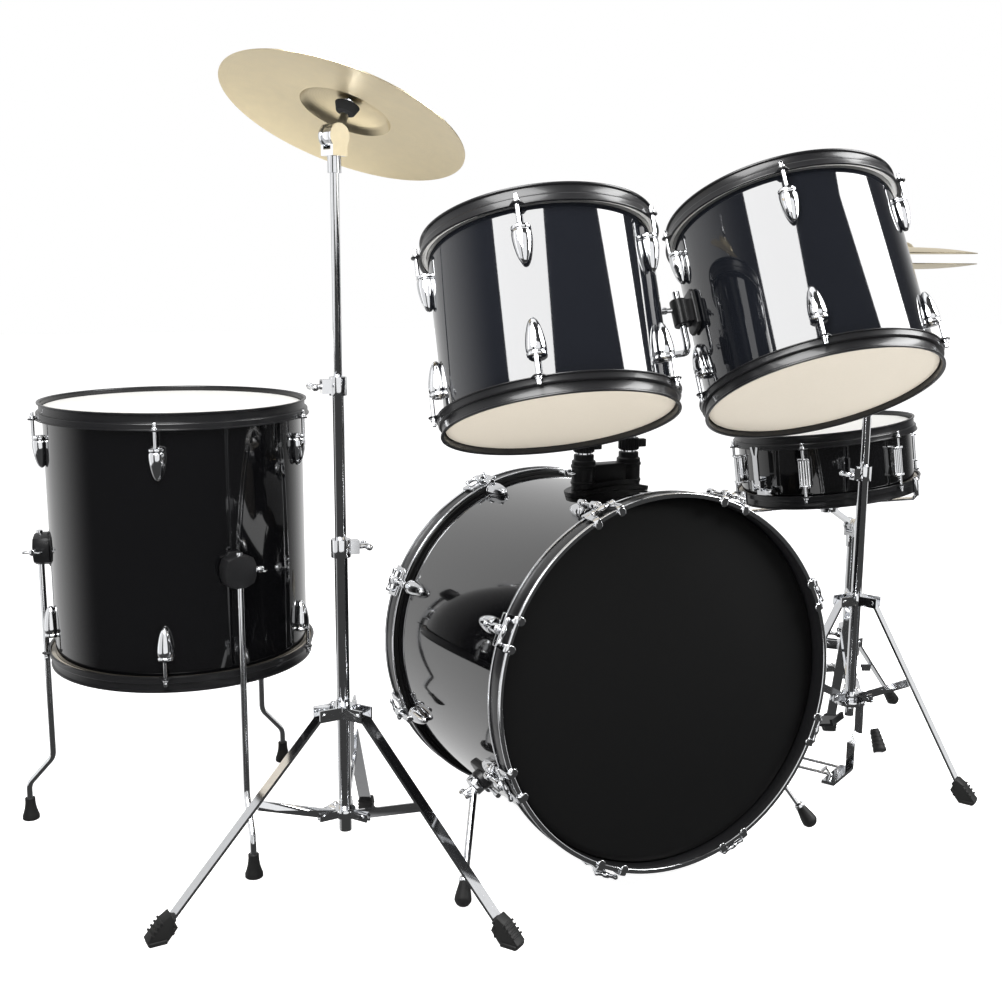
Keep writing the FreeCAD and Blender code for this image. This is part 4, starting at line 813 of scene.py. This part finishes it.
CRASH_CENTRE = at(-460, 173)
CRASH_UP = Vector((0.417, 0.171, 1)).normalized()
TILT_AXIS = UP.cross(CRASH_UP).normalized()
TILTER = CRASH_CENTRE + UP * 1104
CRASH_FRAME = frame_of(TILTER + CRASH_UP * 24 + TILT_AXIS.cross(UP) * 6, CRASH_UP)
HIHAT_CENTRE = at(542, 223)
HIHAT_RIM_Z = 958
HIHAT_GAP = 16
HIHAT_BOW = 9
HIHAT_BELL = 15
HIHAT_TOP = Matrix.Translation(HIHAT_CENTRE + UP * HIHAT_RIM_Z)
HIHAT_BOTTOM = Matrix.Translation(HIHAT_CENTRE + UP * (HIHAT_RIM_Z - HIHAT_GAP))
cymbal("crash_plate", "crash_cymbal", CRASH_FRAME, 173, 12, 17)
for name, place in (("top", HIHAT_TOP), ("bottom", HIHAT_BOTTOM @ FLIP)):
    cymbal(f"hihat_{name}_plate", f"hihat_{name}_cymbal", place, THIRTEEN_INCH, HIHAT_BOW, HIHAT_BELL)


def crash_tilter():
    """The ratchet's tongue and rod in chrome, black felts round the bell and a wing nut."""
    node = "crash_tilter"
    steel = Piece("crash_tilter_rod", CHROME, node)
    steel.round_bar(pointing(TILTER, TILT_AXIS), 15.8, -6.9, 6.9, 0.8, 40)
    steel.tube([CRASH_FRAME @ Vector((0, 0, -20)), CRASH_FRAME @ Vector((0, 0, 73))], 3.2)
    steel.tube([CRASH_FRAME @ Vector((0, 0, -20)), CRASH_FRAME @ Vector((0, 0, 12))], 6)
    steel.round_bar(CRASH_FRAME, 7, 38.6, 47, 1.2)
    half = [(4, -5), (10, -4), (15, -6), (17, 0), (16, 6), (12, 7), (7, 2), (0, 1)]
    outline = half + [(-x, y) for x, y in reversed(half[:-1])]
    wings = CRASH_FRAME @ shift(0, 0, 46) @ Matrix.Rotation(QUARTER, 4, "X")
    steel.prism(wings, outline, 3.6, 1.2)
    steel.done()
    black = Piece("crash_felts", FELT, node, "rubber")
    black.lathe(CRASH_FRAME, soft([(0, 11.2), (13, 11.2), (17.6, 22.8), (6.4, 27.3), (0, 27.3)], 1), 40)
    black.lathe(CRASH_FRAME, soft([(0, 31.8), (6, 31.8), (13.8, 37.4), (13.8, 38.4), (0, 38.4)], 1), 40)
    black.done()


def hihat_clutch():
    """The chrome sleeve, collar and screw that carry the upper cymbal between two felts."""
    node = "hihat_clutch"
    place = Matrix.Translation(HIHAT_CENTRE)
    seat = HIHAT_RIM_Z + HIHAT_BOW + HIHAT_BELL
    steel = Piece("hihat_clutch_sleeve", CHROME, node)
    sleeve = [(3.1, seat - 12), (5.4, seat - 12), (5.4, seat + 34), (3.1, seat + 34)]
    steel.lathe(place, soft(sleeve, 0.6, closed=True), 32, closed=True)
    collar = [(5.3, seat + 8), (9, seat + 8), (9, seat + 31.6), (5.3, seat + 31.6)]
    steel.lathe(place, soft(collar, 1.4, closed=True), 36, closed=True)
    nut = [(5.3, seat - 12), (11, seat - 12), (11, seat - 5.8), (5.3, seat - 5.8)]
    steel.lathe(place, soft(nut, 1, closed=True), 24, closed=True)
    steel.wing(HIHAT_CENTRE + UP * (seat + 24) - BACK * 7, -BACK, 0.85)
    steel.done()
    felts = Piece("hihat_felts", FELT, node, "rubber")
    low = [(5.5, seat - 5.4), (9, seat - 5.4), (9, seat - 1.6), (5.5, seat - 1.6)]
    high = [(5.5, seat + 2), (14, seat + 2), (14, seat + 7.8), (5.5, seat + 7.8)]
    felts.lathe(place, soft(low, 1, closed=True), 36, closed=True)
    felts.lathe(place, soft(high, 1.6, closed=True), 36, closed=True)
    felts.done()


crash_tilter()
hihat_clutch()

# ---------------------------------------------------------------- rubber feet


SNARE_STAND = at(717, 440)


def stand_angles(first):
    return [first + 120 * n for n in range(3)]


def bell_foot(piece, centre):
    outline = [(0, 0), (13, 0), (14, 1), (14, 6), (12.8, 9), (11.5, 13), (10.3, 17.5), (9.4, 22),
               (8.7, 27), (8.4, 31), (8.4, 37), (7.4, 38), (0, 38)]
    piece.lathe(Matrix.Translation(centre), outline, 40)


def shoe(piece, centre, angle):
    """A wedge-shaped shoe with ribs across its back, on the end of a flat leg."""
    place = Matrix.Translation(centre) @ spin(angle) @ Matrix.Rotation(QUARTER, 4, "X")
    outline = [(-29, 19), (-13, 0), (13, 0), (15, 8), (-8, 34), (-20, 41.6)]
    piece.prism(place, outline, 23, 2.4)
    slope = Vector((-12, 7.6)).normalized()
    for n in range(4):
        spot = Vector((10.5, 13)) + (Vector((-8, 34)) - Vector((15, 8))) * (0.16 + 0.2 * n)
        piece.block(place @ shift(spot.x - slope.x * 0.6, spot.y - 1, 0)
                    @ Matrix.Rotation(math.radians(-48), 4, "Z"), (3.4, 5, 25), 1.2)
        back = Vector((-21.5, 12.5)) + Vector((-4.4, 5.6)) * n * 0.6
        piece.block(place @ shift(back.x + 1.6 * n, back.y + 3 * n, 0)
                    @ Matrix.Rotation(math.radians(35), 4, "Z"), (3.4, 4.4, 25), 1.2)
    piece.block(Matrix.Translation(centre + UP * 3.4) @ spin(angle), (26, 26.6, 6.8), 1.8)


def boot(piece, stand, circle, hub_z, angle):
    toe = polar(stand, circle - 12, angle, 20)
    along = (toe - polar(stand, 12.7 + 24, angle, hub_z)).normalized()
    place = pointing(toe - along * 26, along)
    outline = [(0, 0.4), (8, 0.4), (8.6, 2)]
    for n in range(4):
        low = 5 + 8.5 * n
        wide = 9.1 + 0.85 * n
        outline += [(wide, low), (wide + 0.7, low + 1.4), (wide + 0.7, low + 5), (wide, low + 6.4)]
    outline += [(12.7, 41), (12.7, 45.6), (0, 45.6)]

    def keep_above(point):
        return Vector((point.x, point.y, max(point.z, 0)))

    piece.lathe(place, soft(outline, 0.6, steps=2), 36, hold=keep_above)


def rubber_feet():
    piece = Piece("rubber_shoes", RUBBER, "rubber_feet")
    for angle in stand_angles(LEG_FIRST_ANGLE):
        bell_foot(piece, polar(FLOOR_CENTRE, LEG_FOOT_CIRCLE, angle, 0))
    for angle in stand_angles(64.2):
        shoe(piece, polar(CRASH_CENTRE, 287.5, angle, 0), angle)
    for angle in stand_angles(-62):
        shoe(piece, polar(HIHAT_CENTRE, 225, angle, 0), angle)
    for angle in stand_angles(13):
        boot(piece, SNARE_STAND, 182, 165, angle)
    piece.done()


rubber_feet()

# ---------------------------------------------------------------- kick pedal's beater

KICK_AXLE = at(0, 520, 165)


def kick_beater():
    """The axle with its cam, the rod leaning back, and the felt head."""
    node = "kick_beater"
    lean = math.radians(35)
    along = Vector((0, math.sin(lean), math.cos(lean)))
    strike = Vector((0, -math.cos(lean), math.sin(lean)))
    end = KICK_AXLE + along * 160
    steel = Piece("kick_beater_rod", CHROME, node)
    across = pointing(KICK_AXLE, RIGHT)
    steel.round_bar(across, 5, -60, 60, 0.8)
    steel.round_bar(across, 13.8, -12, 12, 1.6, 36)
    steel.tube([KICK_AXLE, end], 4)
    steel.done()
    felt = Piece("kick_beater_felt", PALE_FELT, node, "white_film")
    felt.round_bar(pointing(end, strike), 23.8, -22, 26, 5, 48)
    felt.done()


kick_beater()

# ---------------------------------------------------------------- nodes shown as the CAD has them


def dress_cad_nodes():
    """Every node gets its slot's material and softly rounded edges."""
    for name, row in ROWS.items():
        node = frame["nodes"][name]
        look = SLOT_LOOK[row["material_slot"]]
        node.data.materials.clear()
        node.data.materials.append(look)
        if look is CHROME:
            bright_work.objects.link(node)
        weld = node.modifiers.new("weld", "WELD")
        weld.merge_threshold = 0.00002
        edges = node.modifiers.new("soft_edges", "BEVEL")
        edges.width = 0.0006
        edges.segments = 2
        edges.limit_method = "ANGLE"
        edges.angle_limit = math.radians(35)
        edges.use_clamp_overlap = True


dress_cad_nodes()

# ---------------------------------------------------------------- floor, lights and camera


def floor():
    bpy.ops.mesh.primitive_plane_add(size=30, location=(0, 0, -0.0005))
    ground = bpy.context.object
    ground.name = "floor"
    pale = material("pale_floor", (0.90, 0.90, 0.90), 0.8)
    shader = pale.node_tree.nodes["Principled BSDF"]
    shader.inputs["Emission Color"].default_value = (1, 1, 1, 1)
    shader.inputs["Emission Strength"].default_value = 0.95
    ground.data.materials.append(pale)
    ground.visible_glossy = False


def world():
    sky = bpy.data.worlds.new("studio")
    bpy.context.scene.world = sky
    sky.use_nodes = True
    tree = sky.node_tree
    tree.nodes.clear()
    where = tree.nodes.new("ShaderNodeTexCoord")
    axes = tree.nodes.new("ShaderNodeSeparateXYZ")
    tree.links.new(where.outputs["Generated"], axes.inputs["Vector"])
    ramp = tree.nodes.new("ShaderNodeMapRange")
    ramp.interpolation_type = "SMOOTHSTEP"
    ramp.inputs["From Min"].default_value = 0.0
    ramp.inputs["From Max"].default_value = 0.8
    ramp.inputs["To Min"].default_value = 0.06
    ramp.inputs["To Max"].default_value = 0.85
    tree.links.new(axes.outputs["Y"], ramp.inputs["Value"])
    light = tree.nodes.new("ShaderNodeBackground")
    tree.links.new(ramp.outputs["Result"], light.inputs["Strength"])
    white = tree.nodes.new("ShaderNodeBackground")
    white.inputs["Color"].default_value = (1, 1, 1, 1)
    path = tree.nodes.new("ShaderNodeLightPath")
    mix = tree.nodes.new("ShaderNodeMixShader")
    out = tree.nodes.new("ShaderNodeOutputWorld")
    tree.links.new(path.outputs["Is Camera Ray"], mix.inputs["Fac"])
    tree.links.new(light.outputs["Background"], mix.inputs[1])
    tree.links.new(white.outputs["Background"], mix.inputs[2])
    tree.links.new(mix.outputs["Shader"], out.inputs["Surface"])


def softbox(name, spot, target, width, height, power, only=None):
    lamp = bpy.data.lights.new(name, "AREA")
    lamp.shape = "RECTANGLE"
    lamp.size = width
    lamp.size_y = height
    lamp.energy = power
    holder = bpy.data.objects.new(name, lamp)
    bpy.context.scene.collection.objects.link(holder)
    holder.location = spot
    holder.rotation_euler = (Vector(target) - Vector(spot)).to_track_quat("-Z", "Y").to_euler()
    holder.visible_camera = False
    if only is not None:
        holder.light_linking.receiver_collection = only


floor()
world()
softbox("left_softbox", (-1.02, -0.86, 1.75), (-0.1, -0.35, 0.9), 1.0, 1.1, 36)
softbox("right_softbox", (1.65, -1.25, 2.05), (0.1, -0.35, 0.9), 1.2, 1.5, 70)
softbox("overhead", (0.0, 0.2, 2.9), (0, 0, 0.4), 2.4, 1.8, 14)
softbox("chrome_front", (-1.0, -4.0, 1.5), (0, 0, 0.5), 5.0, 5.0, 70, bright_work)
softbox("chrome_left", (-4.0, 0.0, 1.5), (0, 0, 0.5), 5.0, 5.0, 60, bright_work)
softbox("chrome_right", (4.0, -0.5, 1.5), (0, 0, 0.5), 5.0, 5.0, 60, bright_work)

CAMERA_AZIMUTH = 0.4490
CAMERA_PITCH = 0.1865
CAMERA_ROLL = 0.0070
CAMERA_SPOT = (-1.0391, -1.8070, 0.9389)
level = Vector((math.sin(CAMERA_AZIMUTH), math.cos(CAMERA_AZIMUTH), 0))
across = Vector((math.cos(CAMERA_AZIMUTH), -math.sin(CAMERA_AZIMUTH), 0))
forward = level * math.cos(CAMERA_PITCH) - UP * math.sin(CAMERA_PITCH)
upward = level * math.sin(CAMERA_PITCH) + UP * math.cos(CAMERA_PITCH)
side_axis = across * math.cos(CAMERA_ROLL) + upward * math.sin(CAMERA_ROLL)
up_axis = upward * math.cos(CAMERA_ROLL) - across * math.sin(CAMERA_ROLL)
eye = bpy.data.cameras.new("camera")
eye.lens = 45.51
eye.sensor_width = 36
camera = bpy.data.objects.new("camera", eye)
bpy.context.scene.collection.objects.link(camera)
turn = Matrix((side_axis, up_axis, -forward)).transposed()
camera.matrix_world = Matrix.Translation(CAMERA_SPOT) @ turn.to_4x4()
bpy.context.scene.camera = camera
bpy.context.scene.view_settings.view_transform = "Standard"
